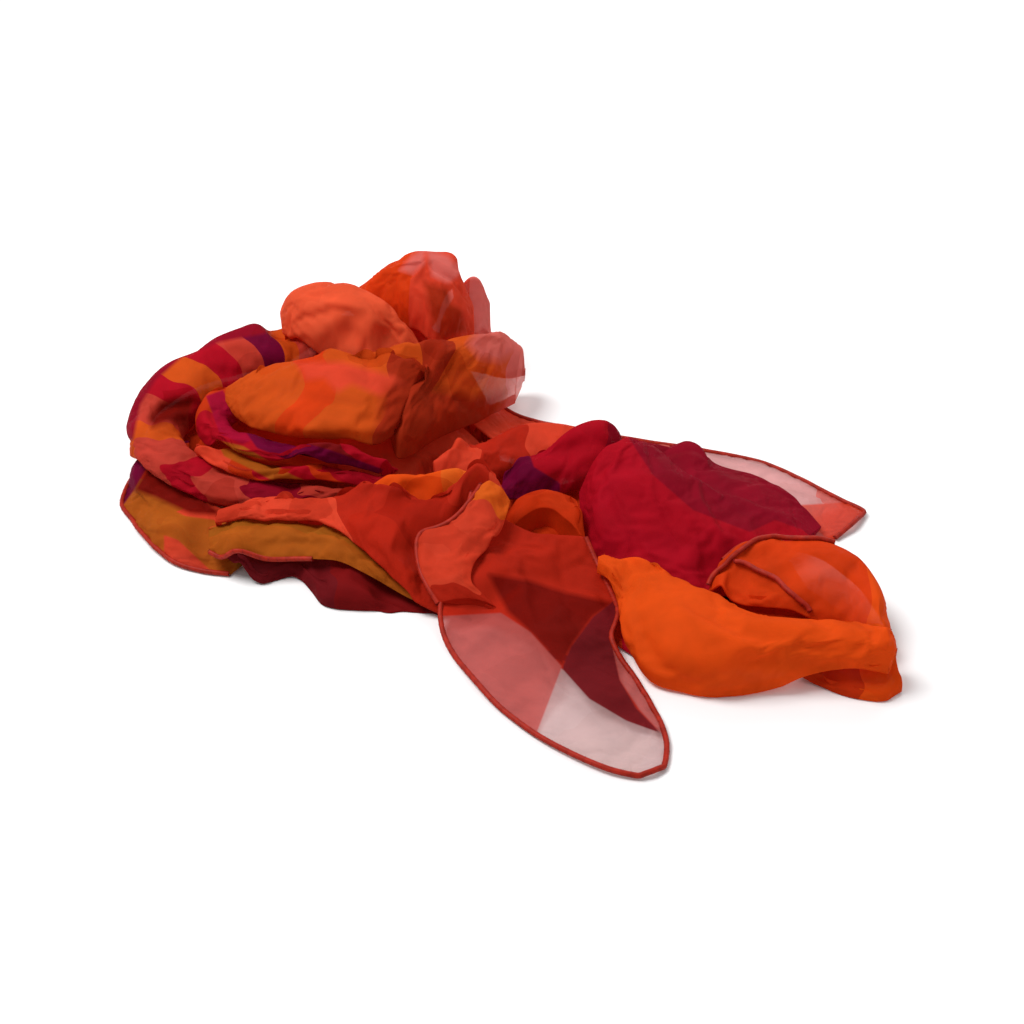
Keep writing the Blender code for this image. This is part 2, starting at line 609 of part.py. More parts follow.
def make_layer(name, grid, thickness, colour):
    """A closed wall round a sheet's middle surface."""
    if normals(grid)[..., 2].mean() < 0:
        grid, thickness = grid[::-1], thickness[::-1]
    offset = normals(grid) * thickness[..., None] / 2
    top = (grid + offset).reshape(-1, 3)
    bottom = (grid - offset).reshape(-1, 3)
    bottom[:, 2] = np.maximum(bottom[:, 2], TABLE_AIR)
    top[:, 2] = np.maximum(top[:, 2], TABLE_AIR)
    faces = wall_faces(*grid.shape[:2])
    return make_object(name, np.vstack((top, bottom)), faces, colour)


# ---- The hidden layers ------------------------------------------------------------------------------------------


def mound_height(x, y):
    """Height of the rounded hidden layers under a point."""
    height = 0.0
    for mx, my, along, across, turn, top in MOUNDS:
        mx, my = mx - HEAP_MIDDLE[0], my - HEAP_MIDDLE[1]
        c, s = math.cos(math.radians(turn)), math.sin(math.radians(turn))
        u = ((x - mx) * c + (y - my) * s) / along
        v = ((y - my) * c - (x - mx) * s) / across
        height = max(height, top * max(0.0, 1 - (u * u + v * v)) ** 0.6)
    return height


def core_reach(angle):
    """How far the hidden layers go from the origin in one direction."""
    step = 2.0
    reach = 0.0
    for k in range(1, int(REACH / step)):
        r = k * step
        if mound_height(r * math.cos(angle), r * math.sin(angle)) > CORE_RIM:
            reach = r
    return reach


def make_core(ceiling):
    """One rounded solid with a flat underside and an edge of stacked layers, kept under the cloth that covers it."""
    low = -spread(-ceiling, 2) - WALL - GAP
    angles = [2 * math.pi * k / CORE_SPOKES for k in range(CORE_SPOKES)]
    reaches = np.array([core_reach(a) for a in angles])
    reaches = (np.roll(reaches, 1) + 2 * reaches + np.roll(reaches, -1)) / 4
    points = [np.array((0.0, 0.0, max(mound_height(0, 0), CORE_RIM)))]
    rings = [("top", k / CORE_RINGS) for k in range(1, CORE_RINGS + 1)]
    for k in range(2 * CORE_RIM_LAYERS - 1):
        rings.append(("rim", k + 1))
    rings.append(("rim", 2 * CORE_RIM_LAYERS))
    for kind, value in rings:
        for a, reach in zip(angles, reaches):
            if kind == "top":
                r = reach * value
                x, y = r * math.cos(a), r * math.sin(a)
                cell = map_cells(np.array((x, y)))
                z = max(min(mound_height(x, y), low[cell[0], cell[1]]), CORE_RIM)
                z = CORE_RIM if value == 1 else z
            else:
                r = reach + (CORE_RIM_STEP if value % 2 else 0.0)
                z = CORE_RIM * (1 - value / (2 * CORE_RIM_LAYERS))
            points.append(np.array((r * math.cos(a), r * math.sin(a), z)))
    faces = []
    for k in range(CORE_SPOKES):
        n = (k + 1) % CORE_SPOKES
        faces.append((0, 1 + k, 1 + n))
        for ring in range(len(rings) - 1):
            base = 1 + ring * CORE_SPOKES
            faces.append((base + k, base + CORE_SPOKES + k, base + CORE_SPOKES + n, base + n))
    last = 1 + (len(rings) - 1) * CORE_SPOKES
    points.append(np.array((0.0, 0.0, 0.0)))
    for k in range(CORE_SPOKES):
        n = (k + 1) % CORE_SPOKES
        faces.append((last + n, last + k, len(points) - 1))
    return points, faces


def core_samples(points):
    """Points all over the top of the core, for the map of heights."""
    rings = np.array(points[1 : 1 + CORE_RINGS * CORE_SPOKES]).reshape(CORE_RINGS, CORE_SPOKES, 3)
    centre = np.repeat(points[0][None, None], CORE_SPOKES, axis=1)
    grid = np.concatenate((centre, rings), axis=0)
    return np.concatenate((grid, grid[:, :1]), axis=1)


# ---- Build ------------------------------------------------------------------------------------------------------


def clear_scene():
    for item in list(bpy.data.objects):
        bpy.data.objects.remove(item, do_unlink=True)


def main():
    clear_scene()
    sheets = []
    for name, rows, along, across, near_turn, far_turn, near_flare, far_flare, hemmed, colour in LAYERS:
        grid = cloth_sheet(name, rows, along, across, (near_turn, far_turn), (near_flare, far_flare))
        thickness = np.full(grid.shape[:2], WALL)
        grid, thickness = add_hem(grid, thickness, hemmed)
        sheets.append([name, grid, thickness, colour])
    ceiling = np.full((MAP_SIZE, MAP_SIZE), 1000.0)
    for sheet in reversed(sheets):
        sheet[1] = press_down(sheet[1], ceiling)
        lower_ceiling(sheet[1], ceiling)
    heap = np.zeros((MAP_SIZE, MAP_SIZE))
    points, faces = make_core(ceiling)
    make_object("core", points, faces, "burgundy")
    add_to_heap(core_samples(points), heap, 0.0)
    for name, grid, thickness, colour in sheets:
        grid = lay_down(rest_edges(grid, heap), thickness, heap)
        make_layer(name, grid, thickness, colour)
        add_to_heap(grid, heap, WALL / 2)


main()
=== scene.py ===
# %% [markdown]
# # A sheer silk scarf, dropped in a heap
# The real scarf is one square of silk chiffon, about 90 cm wide, with an edge that is rolled and sewn by hand. Here
# it lies dropped on a table. The plain part already holds each stretch of cloth that shows, as a thin wall. This
# notebook puts sheer, creased and coloured silk in the place of each wall. First it loads the part; the box of each
# wall is read from it later.

# %% Load the plain part
import math

import bpy
import numpy as np
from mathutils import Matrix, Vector, noise


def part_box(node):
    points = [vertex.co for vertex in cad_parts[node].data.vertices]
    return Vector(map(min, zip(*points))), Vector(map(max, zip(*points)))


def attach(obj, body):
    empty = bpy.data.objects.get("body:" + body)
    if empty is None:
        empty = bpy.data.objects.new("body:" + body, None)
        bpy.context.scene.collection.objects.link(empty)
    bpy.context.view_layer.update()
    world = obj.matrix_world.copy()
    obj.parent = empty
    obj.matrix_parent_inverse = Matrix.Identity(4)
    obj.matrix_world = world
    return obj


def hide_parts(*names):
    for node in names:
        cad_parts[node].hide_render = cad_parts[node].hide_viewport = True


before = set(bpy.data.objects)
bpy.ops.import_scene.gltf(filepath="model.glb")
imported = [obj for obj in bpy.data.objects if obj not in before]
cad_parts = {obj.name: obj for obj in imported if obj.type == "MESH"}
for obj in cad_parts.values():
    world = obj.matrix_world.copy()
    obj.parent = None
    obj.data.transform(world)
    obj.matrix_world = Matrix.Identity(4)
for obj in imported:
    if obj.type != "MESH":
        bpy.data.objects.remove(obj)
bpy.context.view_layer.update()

print("nodes in the part:", len(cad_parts))

# %% [markdown]
# ## The stretches of cloth
# A dropped scarf is one sheet, but only some stretches of it show: rolls, puffs, flaps and corners. Each stretch is
# drawn as a few sections across it. A section has three points: its near edge, its crest and its far edge. The tables
# are the same ones that the plain part was made from, in millimetres, so that the silk lies where the walls are.

# %% Sizes in millimetres
MM = 0.001
WALL = 1.2  # one layer of cloth in the plain part
HEM = 2.8  # the rolled hem
GAP = 0.9  # air between a layer and what it lies on
TABLE_AIR = 0.35  # air between the table and the cloth that touches it
LOWEST = TABLE_AIR + WALL / 2  # height of the middle of a layer that lies on the table
CELL = 2.5  # size of the squares on which the height of the heap is kept
REACH = 300.0  # half the width of that map
FOLD_STEPS = 7  # points on the path of a fold
LIFT_SPREAD = 2  # squares round a high spot that are lifted with it
HEAP_MIDDLE = (-14.5, 5.5)  # the middle of the heap in the tables below, moved to the origin

# A row is one section across the stretch: its near edge, its crest and its far edge.
# near x, near y, near z, crest x, crest y, crest z, far x, far y, far z

BACK_FLAP = (
    (-26, 72, 2, -18, 90, 4, -8, 110, 2),
    (20, 40, 2, 20, 64, 5, 21, 95, 2),
    (74, 8, 2, 72, 40, 7, 69, 78, 2),
    (114, -8, 2, 115, 24, 7, 116, 64, 2),
    (142, -22, 2, 147, 8, 6, 156, 46, 2),
    (166, -29, 2, 174, -5, 5, 185, 18, 2),
    (182, -28, 2, 194, -17, 4, 204, -3, 2),
)
GOLD_SKIRT = (
    (-223, 60, 2, -212, 50, 15, -196, 54, 14),
    (-229, 32, 2, -214, 24, 18, -190, 26, 16),
    (-229, 8, 2, -212, 2, 18, -182, 6, 14),
    (-220, -7, 2, -201, -12, 15, -174, -6, 12),
    (-205, -28, 2, -188, -26, 12, -160, -16, 11),
    (-188, -49, 2, -171, -43, 10, -146, -28, 10),
    (-170, -58, 2, -157, -51, 9, -134, -34, 9),
    (-154, -61, 3, -148, -52, 8, -128, -36, 8),
)
PLUM_FOLD = (
    (-156, -54, 1, -152, -48, 5, -146, -36, 3),
    (-146, -64, 1, -143, -55, 8, -136, -40, 4),
    (-134, -69, 1, -130, -59, 10, -124, -42, 4),
    (-118, -63, 1, -116, -57, 9, -110, -42, 4),
    (-102, -86, 1, -104, -73, 14, -98, -52, 3),
    (-86, -91, 1, -90, -75, 16, -90, -54, 3),
    (-66, -92, 1, -70, -79, 14, -70, -58, 3),
    (-43, -93, 1, -46, -84, 11, -46, -66, 3),
    (-22, -99, 1, -25, -92, 7, -24, -80, 2),
)
GOLD_FOLD = (
    (-164, -56, 4, -166, -46, 10, -168, -32, 6),
    (-147, -64, 3, -148, -48, 18, -148, -26, 8),
    (-118, -62, 3, -120, -46, 21, -121, -24, 8),
    (-92, -69, 3, -96, -54, 21, -96, -32, 8),
    (-68, -79, 2, -73, -70, 15, -70, -50, 6),
    (-50, -89, 2, -52, -84, 8, -46, -70, 4),
)
RING_ROLL = (
    (-96, 166, 8, -106, 146, 42, -112, 124, 26),
    (-126, 168, 8, -130, 144, 46, -128, 120, 26),
    (-172, 162, 6, -160, 136, 48, -148, 112, 26),
    (-208, 140, 6, -190, 118, 46, -170, 98, 22),
    (-229, 105, 5, -209, 87, 43, -189, 76, 20),
    (-232, 68, 5, -215, 55, 38, -198, 54, 18),
    (-225, 31, 6, -206, 22, 33, -190, 32, 18),
    (-200, 2, 6, -186, 0, 29, -172, 18, 16),
    (-160, -13, 8, -152, -5, 26, -142, 6, 16),
    (-114, -12, 6, -110, -5, 20, -104, 5, 12),
    (-74, -8, 4, -72, -2, 12, -70, 5, 6),
)
STRIPE_FOLD = (
    (-184, 20, 20, -172, 17, 36, -162, 28, 22),
    (-156, 0, 22, -149, 5, 32, -139, 18, 20),
    (-120, -2, 18, -116, 2, 26, -108, 12, 15),
    (-90, -3, 12, -88, 1, 18, -82, 8, 10),
    (-68, -2, 7, -67, 1, 12, -62, 6, 7),
)
SWIRL_FOLD = (
    (-150, 94, 28, -146, 82, 46, -144, 72, 32),
    (-180, 82, 26, -168, 68, 44, -160, 64, 30),
    (-190, 56, 26, -179, 46, 41, -168, 50, 28),
    (-178, 30, 26, -167, 26, 39, -158, 36, 28),
    (-146, 9, 27, -138, 14, 36, -128, 26, 26),
    (-106, 4, 22, -103, 9, 30, -97, 20, 20),
    (-76, 2, 13, -73, 6, 19, -67, 14, 12),
)
BACK_BAND = (
    (-40, 8, 6, -44, 14, 14, -46, 22, 8),
    (-24, 10, 5, -27, 20, 22, -32, 34, 8),
    (-8, 16, 4, -10, 30, 27, -12, 50, 6),
    (14, 26, 4, 11, 49, 26, 10, 68, 5),
    (38, 44, 4, 31, 54, 22, 34, 68, 4),
    (56, 48, 3, 54, 56, 16, 56, 66, 3),
)
CRIMSON_BACK = (
    (-8, -6, 4, -6, 2, 16, -2, 14, 10),
    (8, -6, 4, 10, 9, 31, 16, 26, 20),
    (30, -4, 6, 34, 18, 45, 40, 36, 24),
    (48, -4, 8, 53, 17, 51, 59, 38, 22),
    (62, -4, 12, 68, 10, 48, 76, 32, 20),
)
CRIMSON_FRONT = (
    (38, -10, 6, 62, 6, 45, 80, 36, 12),
    (39, -31, 2, 70, -8, 43, 100, 50, 8),
    (46, -56, 2, 81, -29, 38, 112, 56, 5),
    (72, -76, 2, 96, -40, 33, 122, 36, 3),
    (98, -88, 2, 112, -48, 27, 146, 24, 2),
    (118, -88, 3, 129, -55, 20, 162, 4, 2),
    (136, -80, 3, 147, -59, 12, 174, -24, 2),
)
LOOP = (
    (-8, -46, 2, 19, -28, 25, 40, -52, 2),
    (-7, -34, 2, 19, -24, 28, 39, -40, 2),
    (-2, -23, 2, 19, -19, 28, 37, -28, 2),
    (6, -15, 3, 19, -13, 23, 33, -17, 3),
)
BACK_TIP = (
    (-50, 194, 4, -49, 204, 18, -48, 218, 4),
    (-37, 188, 4, -36, 200, 44, -35, 222, 3),
    (-29, 190, 6, -28, 198, 54, -27, 213, 4),
    (-22, 192, 6, -21, 197, 51, -21, 210, 4),
    (-16, 194, 6, -15, 199, 34, -15, 208, 4),
)
TOP_PUFF = (
    (-148, 142, 22, -151, 156, 50, -147, 178, 12),
    (-138, 130, 24, -140, 149, 65, -140, 186, 20),
    (-112, 114, 26, -112, 140, 73, -112, 172, 34),
    (-86, 110, 26, -88, 133, 70, -88, 150, 46),
    (-68, 116, 28, -72, 128, 57, -73, 140, 42),
    (-56, 120, 32, -60, 126, 44, -61, 134, 38),
)
BACK_DOME = (
    (-104, 172, 36, -104, 182, 52, -106, 200, 8),
    (-84, 156, 48, -84, 172, 72, -86, 212, 3),
    (-66, 144, 44, -63, 166, 84, -64, 220, 2),
    (-48, 132, 36, -45, 162, 80, -47, 212, 6),
    (-34, 136, 30, -33, 161, 67, -37, 194, 24),
    (-25, 148, 22, -25, 162, 50, -28, 178, 24),
)
CENTRE_PUFF = (
    (-172, 61, 36, -172, 67, 40, -167, 75, 34),
    (-163, 45, 34, -156, 64, 49, -152, 81, 38),
    (-147, 32, 32, -134, 66, 56, -130, 86, 42),
    (-128, 24, 28, -112, 66, 61, -108, 82, 48),
    (-104, 17, 22, -88, 58, 61, -84, 74, 50),
    (-84, 13, 17, -72, 51, 60, -67, 68, 50),
    (-67, 19, 13, -57, 52, 58, -50, 64, 52),
)
CENTRE_LOBE = (
    (-108, 68, 46, -104, 78, 55, -101, 90, 46),
    (-90, 58, 44, -86, 76, 62, -82, 96, 46),
    (-74, 42, 36, -66, 76, 66, -60, 102, 42),
    (-66, 17, 14, -49, 76, 66, -42, 106, 36),
    (-48, 35, 11, -33, 87, 64, -26, 118, 28),
    (-28, 56, 9, -18, 100, 62, -12, 129, 18),
    (-12, 80, 8, -5, 113, 55, 0, 134, 14),
    (2, 102, 10, 6, 120, 41, 8, 134, 16),
)
FUNNEL_BACK = (
    (-86, -26, 16, -84, -18, 26, -86, -10, 18),
    (-72, -26, 16, -70, -14, 33, -70, -6, 22),
    (-50, -27, 16, -48, -14, 36, -48, -4, 20),
    (-32, -28, 18, -30, -14, 39, -30, -2, 18),
    (-20, -22, 28, -20, -16, 42, -18, -6, 26),
)
FRONT_FALL = (
    (-163, -36, 10, -162, -29, 14, -160, -20, 8),
    (-131, -38, 16, -134, -25, 21, -135, -16, 14),
    (-104, -42, 18, -108, -26, 25, -108, -15, 18),
    (-84, -60, 10, -82, -27, 29, -82, -16, 20),
    (-64, -80, 5, -60, -36, 30, -60, -27, 22),
    (-50, -92, 3, -38, -38, 32, -38, -28, 24),
    (-38, -96, 3, -21, -25, 43, -19, -14, 34),
    (-24, -97, 3, -8, -36, 36, -3, -24, 28),
)
FRONT_CORNER = (
    (-22, -36, 10, 12, -52, 22, 40, -54, 8),
    (-30, -66, 4, 8, -68, 19, 49, -77, 4),
    (-37, -94, 2, 6, -92, 15, 55, -104, 2),
    (-34, -118, 2, 10, -120, 11, 50, -124, 2),
    (-22, -142, 2, 18, -145, 8, 59, -143, 2),
    (-6, -167, 2, 32, -168, 6, 67, -165, 2),
    (16, -190, 2, 46, -190, 5, 72, -185, 2),
    (42, -208, 2, 58, -205, 4, 72, -199, 2),
    (58, -213, 2, 64, -211, 3, 70, -207, 2),
)
FOLD_OVER = (
    (-17, -36, 32, -9, -36, 36, -1, -39, 32),
    (-23, -46, 28, -13, -48, 32, -4, -52, 28),
    (-34, -53, 21, -21, -58, 27, -8, -62, 22),
    (-48, -56, 17, -31, -63, 24, -14, -69, 17),
    (-51, -65, 13, -35, -72, 19, -20, -78, 12),
    (-48, -80, 8, -34, -85, 13, -21, -90, 8),
    (-40, -98, 4, -26, -99, 9, -8, -100, 5),
)
RIGHT_HILL = (
    (103, -90, 4, 107, -81, 10, 112, -72, 8),
    (120, -102, 4, 123, -80, 20, 125, -64, 14),
    (144, -112, 4, 148, -82, 29, 147, -61, 19),
    (164, -120, 6, 171, -90, 31, 170, -64, 13),
    (180, -132, 8, 185, -110, 26, 188, -88, 7),
    (185, -144, 7, 189, -130, 16, 193, -114, 6),
)
RIGHT_LOOP = (
    (142, -146, 1, 146, -142, 4, 150, -130, 2),
    (160, -156, 1, 162, -149, 6, 166, -134, 3),
    (178, -162, 1, 178, -153, 8, 180, -136, 4),
    (191, -155, 1, 189, -150, 9, 188, -138, 5),
)
RIGHT_FLAP = (
    (45, -78, 6, 46, -74, 14, 50, -67, 8),
    (54, -99, 2, 60, -92, 22, 69, -73, 12),
    (55, -127, 1, 72, -114, 27, 88, -87, 14),
    (68, -152, 1, 91, -134, 29, 107, -108, 16),
    (96, -160, 1, 113, -146, 29, 126, -121, 18),
    (122, -158, 3, 137, -148, 30, 149, -127, 20),
    (146, -153, 11, 160, -149, 30, 170, -130, 22),
    (167, -154, 15, 177, -152, 28, 184, -138, 20),
    (182, -155, 11, 185, -152, 19, 188, -145, 13),
)

# The largest folds inside a stretch, as soft ridges, or troughs where the height is below zero.
# from section, from across (-1 near edge, 0 crest, 1 far edge), to section, to across, half width, height
FOLDS = {
    "back_flap": ((0.5, 0.5, 5.5, 0.2, 12, 3), (2.0, -0.2, 5.0, 0.7, 9, -2)),
    "gold_skirt": ((1.2, -0.9, 4.0, 0.4, 9, -5), (3.2, -0.9, 5.0, 0.6, 10, 4), (0.4, -0.6, 2.4, 0.2, 9, 3)),
    "gold_fold": ((0.6, -0.3, 3.5, -0.5, 7, -3),),
    "plum_fold": ((3.6, -0.9, 4.4, 0.4, 7, -4),),
    "ring_roll": ((2.0, -0.7, 4.6, 0.3, 10, -4), (4.0, -0.8, 7.0, -0.1, 9, 3), (7.0, -0.5, 9.5, 0.3, 8, -3)),
    "stripe_fold": ((0.4, 0.6, 3.2, -0.2, 6, -4),),
    "swirl_fold": ((0.6, -0.1, 3.0, 0.4, 6, -4), (3.4, -0.6, 5.6, 0.2, 6, 3)),
    "back_band": ((1.6, -0.6, 3.8, 0.2, 8, -4), (2.4, 0.5, 4.4, 0.1, 7, 3)),
    "crimson_back": ((0.6, 0.2, 2.4, -0.6, 9, -5), (2.0, -0.4, 4.0, -0.3, 8, -3)),
    "crimson_front": (
        (0.2, -0.4, 2.6, -0.7, 11, 4),
        (0.6, 0.45, 4.4, 0.5, 13, -5),
        (2.0, -0.2, 4.4, -0.6, 9, -3),
        (1.2, 0.7, 3.0, 0.6, 11, 9),
    ),
    "top_puff": (
        (0.8, -0.1, 3.4, 0.1, 9, -4),
        (2.0, -0.9, 2.5, -0.4, 8, -7),
        (3.2, -0.9, 3.4, -0.4, 7, -7),
        (1.2, 0.5, 4.0, 0.3, 12, 5),
    ),
    "back_dome": ((1.4, -0.1, 3.2, -0.5, 9, -4), (2.6, 0.6, 4.2, -0.3, 9, 4)),
    "centre_puff": (
        (1.0, -0.35, 4.0, -0.4, 12, -4),
        (2.4, -0.8, 5.0, -0.75, 9, 4),
        (4.6, -0.9, 5.6, -0.2, 11, -4),
        (1.0, -0.1, 3.0, -0.12, 8, 3),
        (1.2, 0.4, 5.4, 0.4, 6, 2),
    ),
    "centre_lobe": ((3.7, 0.0, 2.8, -0.5, 7, 4), (4.6, -0.1, 3.8, -0.6, 10, -5), (5.6, 0.2, 5.0, -0.6, 8, -3)),
    "funnel_back": ((1.6, -0.9, 2.0, 0.0, 8, -5),),
    "front_fall": (
        (2.4, -0.2, 5.0, -0.7, 10, 4),
        (4.6, -0.1, 4.8, -0.6, 10, -5),
        (6.2, -0.1, 5.4, -0.8, 7, 4),
        (0.8, -0.6, 3.0, -0.4, 7, -3),
    ),
    "front_corner": (
        (0.4, -0.3, 3.4, -0.5, 11, 5),
        (0.6, 0.4, 4.0, 0.5, 12, -4),
        (1.6, 0.0, 5.6, 0.3, 10, 3),
    ),
    "right_hill": ((1.2, -0.1, 3.8, -0.4, 9, -5), (1.4, 0.5, 4.2, 0.2, 8, 3)),
    "right_flap": (
        (0.8, -0.1, 3.6, -0.75, 12, -4),
        (2.0, 0.5, 6.5, 0.1, 11, 3),
        (4.0, -0.6, 6.6, -0.2, 9, -4),
    ),
}

# name, sections, cells between sections, cells across, near turn under in degrees, near flare, far flare, hemmed
# sides. A flare of 0 is a round fold and of 1 lies down flat at the edge. The first lies lowest and the last on top.
STRETCHES = (
    ("back_flap", BACK_FLAP, 2, 8, 0, 1.0, 1.0, ("end", "far")),
    ("gold_skirt", GOLD_SKIRT, 2, 7, 0, 0.6, 0.3, ("near",)),
    ("plum_fold", PLUM_FOLD, 2, 8, 0, 0.0, 0.2, ()),
    ("gold_fold", GOLD_FOLD, 2, 7, 0, 0.3, 0.2, ("near",)),
    ("ring_roll", RING_ROLL, 3, 9, 0, 0.0, 0.0, ()),
    ("stripe_fold", STRIPE_FOLD, 3, 7, 0, 0.0, 0.0, ()),
    ("swirl_fold", SWIRL_FOLD, 3, 7, 0, 0.0, 0.0, ()),
    ("back_band", BACK_BAND, 3, 8, 0, 0.0, 0.3, ()),
    ("crimson_back", CRIMSON_BACK, 3, 10, 0, 0.2, 0.4, ()),
    ("crimson_front", CRIMSON_FRONT, 3, 11, 0, 0.4, 0.6, ()),
    ("loop", LOOP, 3, 11, 0, 0.0, 0.0, ()),
    ("back_tip", BACK_TIP, 3, 6, 0, 0.3, 0.3, ()),
    ("top_puff", TOP_PUFF, 3, 11, 0, 0.0, 0.2, ()),
    ("back_dome", BACK_DOME, 3, 10, 0, 0.0, 0.2, ()),
    ("centre_lobe", CENTRE_LOBE, 2, 9, 0, 0.2, 0.0, ()),
    ("centre_puff", CENTRE_PUFF, 2, 11, 0, 0.0, 0.0, ()),
    ("funnel_back", FUNNEL_BACK, 3, 7, 0, 0.2, 0.2, ()),
    ("front_fall", FRONT_FALL, 2, 9, 0, 0.3, 0.2, ()),
    ("front_corner", FRONT_CORNER, 2, 8, 0, 0.7, 0.7, ("near", "end", "far")),
    ("fold_over", FOLD_OVER, 2, 6, 0, 0.5, 0.5, ("near",)),
    ("right_hill", RIGHT_HILL, 3, 9, 0, 0.2, 0.2, ("far",)),
    ("right_loop", RIGHT_LOOP, 3, 6, 0, 0.0, 0.5, ()),
    ("right_flap", RIGHT_FLAP, 2, 10, 20, 0.0, 0.0, ()),
)
print("stretches of cloth:", len(STRETCHES))

# %% [markdown]
# ## From sections to a sheet
# A loft is the classic way to make such a form: curves run along the sections, and each section is a rounded arch.
# Here the loft is worked out in numpy, because later steps need every point's place along and across its stretch. The
# largest folds are pushed out of the sheet along its normals, as soft ridges and troughs.

# %% Sections, curves through them, and the largest folds
def row_at(rows, place):
    """The table's row at a place between its rows, on a smooth curve through each (Catmull-Rom)."""
    padded = np.vstack((2 * rows[0] - rows[1], rows, 2 * rows[-1] - rows[-2]))
    i = min(int(place), len(rows) - 2)
    t = place - i
    p0, p1, p2, p3 = padded[i : i + 4]
    bend = 2 * p0 - 5 * p1 + 4 * p2 - p3
    return 0.5 * (2 * p1 + (p2 - p0) * t + bend * t**2 + (3 * p1 - p0 - 3 * p2 + p3) * t**3)


def section_point(row, across, near_turn, flares):
    """A point of a section, across = -1 at its near edge, 0 at its crest and 1 at its far edge."""
    far = int(across > 0)
    crest, edge = row[3:6], row[6:9] if far else row[0:3]
    full = math.radians(90 if far else 90 + near_turn)
    share, flare = abs(across), flares[far]
    out = math.sin(share * full) * (1 - flare) + share * flare
    down_round = (1 - math.cos(share * full)) / (1 - math.cos(full))
    down = down_round * (1 - flare) + share * share * (3 - 2 * share) * flare
    point = crest + (edge - crest) * out
    point[2] = crest[2] + (edge[2] - crest[2]) * down
    return point


def near_path(points, path):
    """How far each point is from a path, and how far along the path the nearest place is, from 0 to 1."""
    best = np.full(points.shape[:2], 1e9)
    place = np.zeros(points.shape[:2])
    for k, (a, b) in enumerate(zip(path[:-1], path[1:])):
        run = b - a
        t = np.clip(((points - a) @ run) / max(run @ run, 1e-9), 0, 1)
        gap = np.linalg.norm(points - (a + t[..., None] * run), axis=2)
        closer = gap < best
        best[closer] = gap[closer]
        place[closer] = (k + t[closer]) / (len(path) - 1)
    return best, place


def normals(grid):
    """Unit normals at the points of a grid, on its upper side."""
    out = np.cross(np.gradient(grid, axis=0), np.gradient(grid, axis=1))
    out /= np.maximum(np.linalg.norm(out, axis=2, keepdims=True), 1e-9)
    return out if out[..., 2].mean() > 0 else -out


def smooth_line(line, times):
    """Smooths a line of points where it is, and keeps its two ends."""
    for _ in range(times):
        line[1:-1] = (line[:-2] + 2 * line[1:-1] + line[2:]) / 4


def plain_sheet(name, rows, cells_along, cells_across, near_turn, flares):
    """A stretch with its largest folds, as a grid of points [along][across]."""
    rows = np.array(rows, dtype=float) - np.array((*HEAP_MIDDLE, 0.0) * 3)
    places = np.linspace(0, len(rows) - 1, (len(rows) - 1) * cells_along + 1)
    acrosses = np.linspace(-1, 1, cells_across + 1)
    grid = np.array([[section_point(row_at(rows, p), a, near_turn, flares) for a in acrosses] for p in places])
    push = np.zeros(grid.shape[:2])
    for start, start_across, end, end_across, half_width, height in FOLDS.get(name, ()):
        path = []
        for k in np.linspace(0, 1, FOLD_STEPS):
            row = row_at(rows, start + (end - start) * k)
            path.append(section_point(row, start_across + (end_across - start_across) * k, near_turn, flares))
        gap, place = near_path(grid, path)
        push += height * np.exp(-((gap / half_width) ** 2)) * np.sin(np.pi * (0.1 + 0.8 * place))
    return grid + normals(grid) * push[..., None]


# %% [markdown]
# ## Laying the stretches on each other
# Each stretch presses what lies under it flat and then rests on it. A map of heights in small squares keeps count of
# how high the heap is. This is much quicker than a collision simulation, and it gives the same heap on each run.

# %% The map of heights
MAP_SIZE = int(2 * REACH / CELL)


def map_cells(points):
    """The map square that each point stands over."""
    cells = np.floor((points[..., :2] + REACH) / CELL).astype(int)
    return np.clip(cells, 0, MAP_SIZE - 1)


def dense(grid, step=CELL * 0.6):
    """Points all over a grid's faces, about a step apart."""
    along = np.linalg.norm(np.diff(grid, axis=0), axis=2).max()
    across = np.linalg.norm(np.diff(grid, axis=1), axis=2).max()
    points = []
    for u in np.linspace(0, 1, max(2, int(along / step) + 1)):
        for v in np.linspace(0, 1, max(2, int(across / step) + 1)):
            near_edge = grid[:-1, :-1] * (1 - v) + grid[:-1, 1:] * v
            far_edge = grid[1:, :-1] * (1 - v) + grid[1:, 1:] * v
            points.append((near_edge * (1 - u) + far_edge * u).reshape(-1, 3))
    return np.vstack(points)


def neighbours(field):
    """The field and its eight shifted copies."""
    wide = np.pad(field, 1, mode="edge")
    return [wide[i : i + MAP_SIZE, j : j + MAP_SIZE] for i in range(3) for j in range(3)]


def spread(field, times=1):
    """Each square takes the highest value of its neighbours."""
    for _ in range(times):
        field = np.max(neighbours(field), axis=0)
    return field


def soft_cover(need, times):
    """A smooth field that is nowhere less than what is needed."""
    cover = need
    for _ in range(times):
        cover = np.maximum(need, np.mean(neighbours(np.mean(neighbours(cover), axis=0)), axis=0))
    return cover


# %% Pressing down, resting and laying
def press_down(grid, ceiling):
    """Pushes the hidden parts of a sheet under what will lie on it, as the weight above flattens them."""
    samples = dense(grid)
    cells = map_cells(samples)
    low = -spread(-ceiling)
    over = samples[:, 2] + WALL + GAP - low[cells[:, 0], cells[:, 1]]
    need = np.zeros((MAP_SIZE, MAP_SIZE))
    np.maximum.at(need, (cells[:, 0], cells[:, 1]), over)
    press = soft_cover(spread(need), 2)
    cells = map_cells(grid)
    grid = grid.copy()
    grid[..., 2] = np.maximum(grid[..., 2] - press[cells[..., 0], cells[..., 1]], LOWEST)
    return grid


def lower_ceiling(grid, ceiling):
    """Writes the underside of a sheet's middle, without its falling edges, into the map of what lies above."""
    margin = max(1, grid.shape[1] // 5)
    samples = dense(grid[:, margin:-margin])
    cells = map_cells(samples)
    np.minimum.at(ceiling, (cells[:, 0], cells[:, 1]), samples[:, 2])


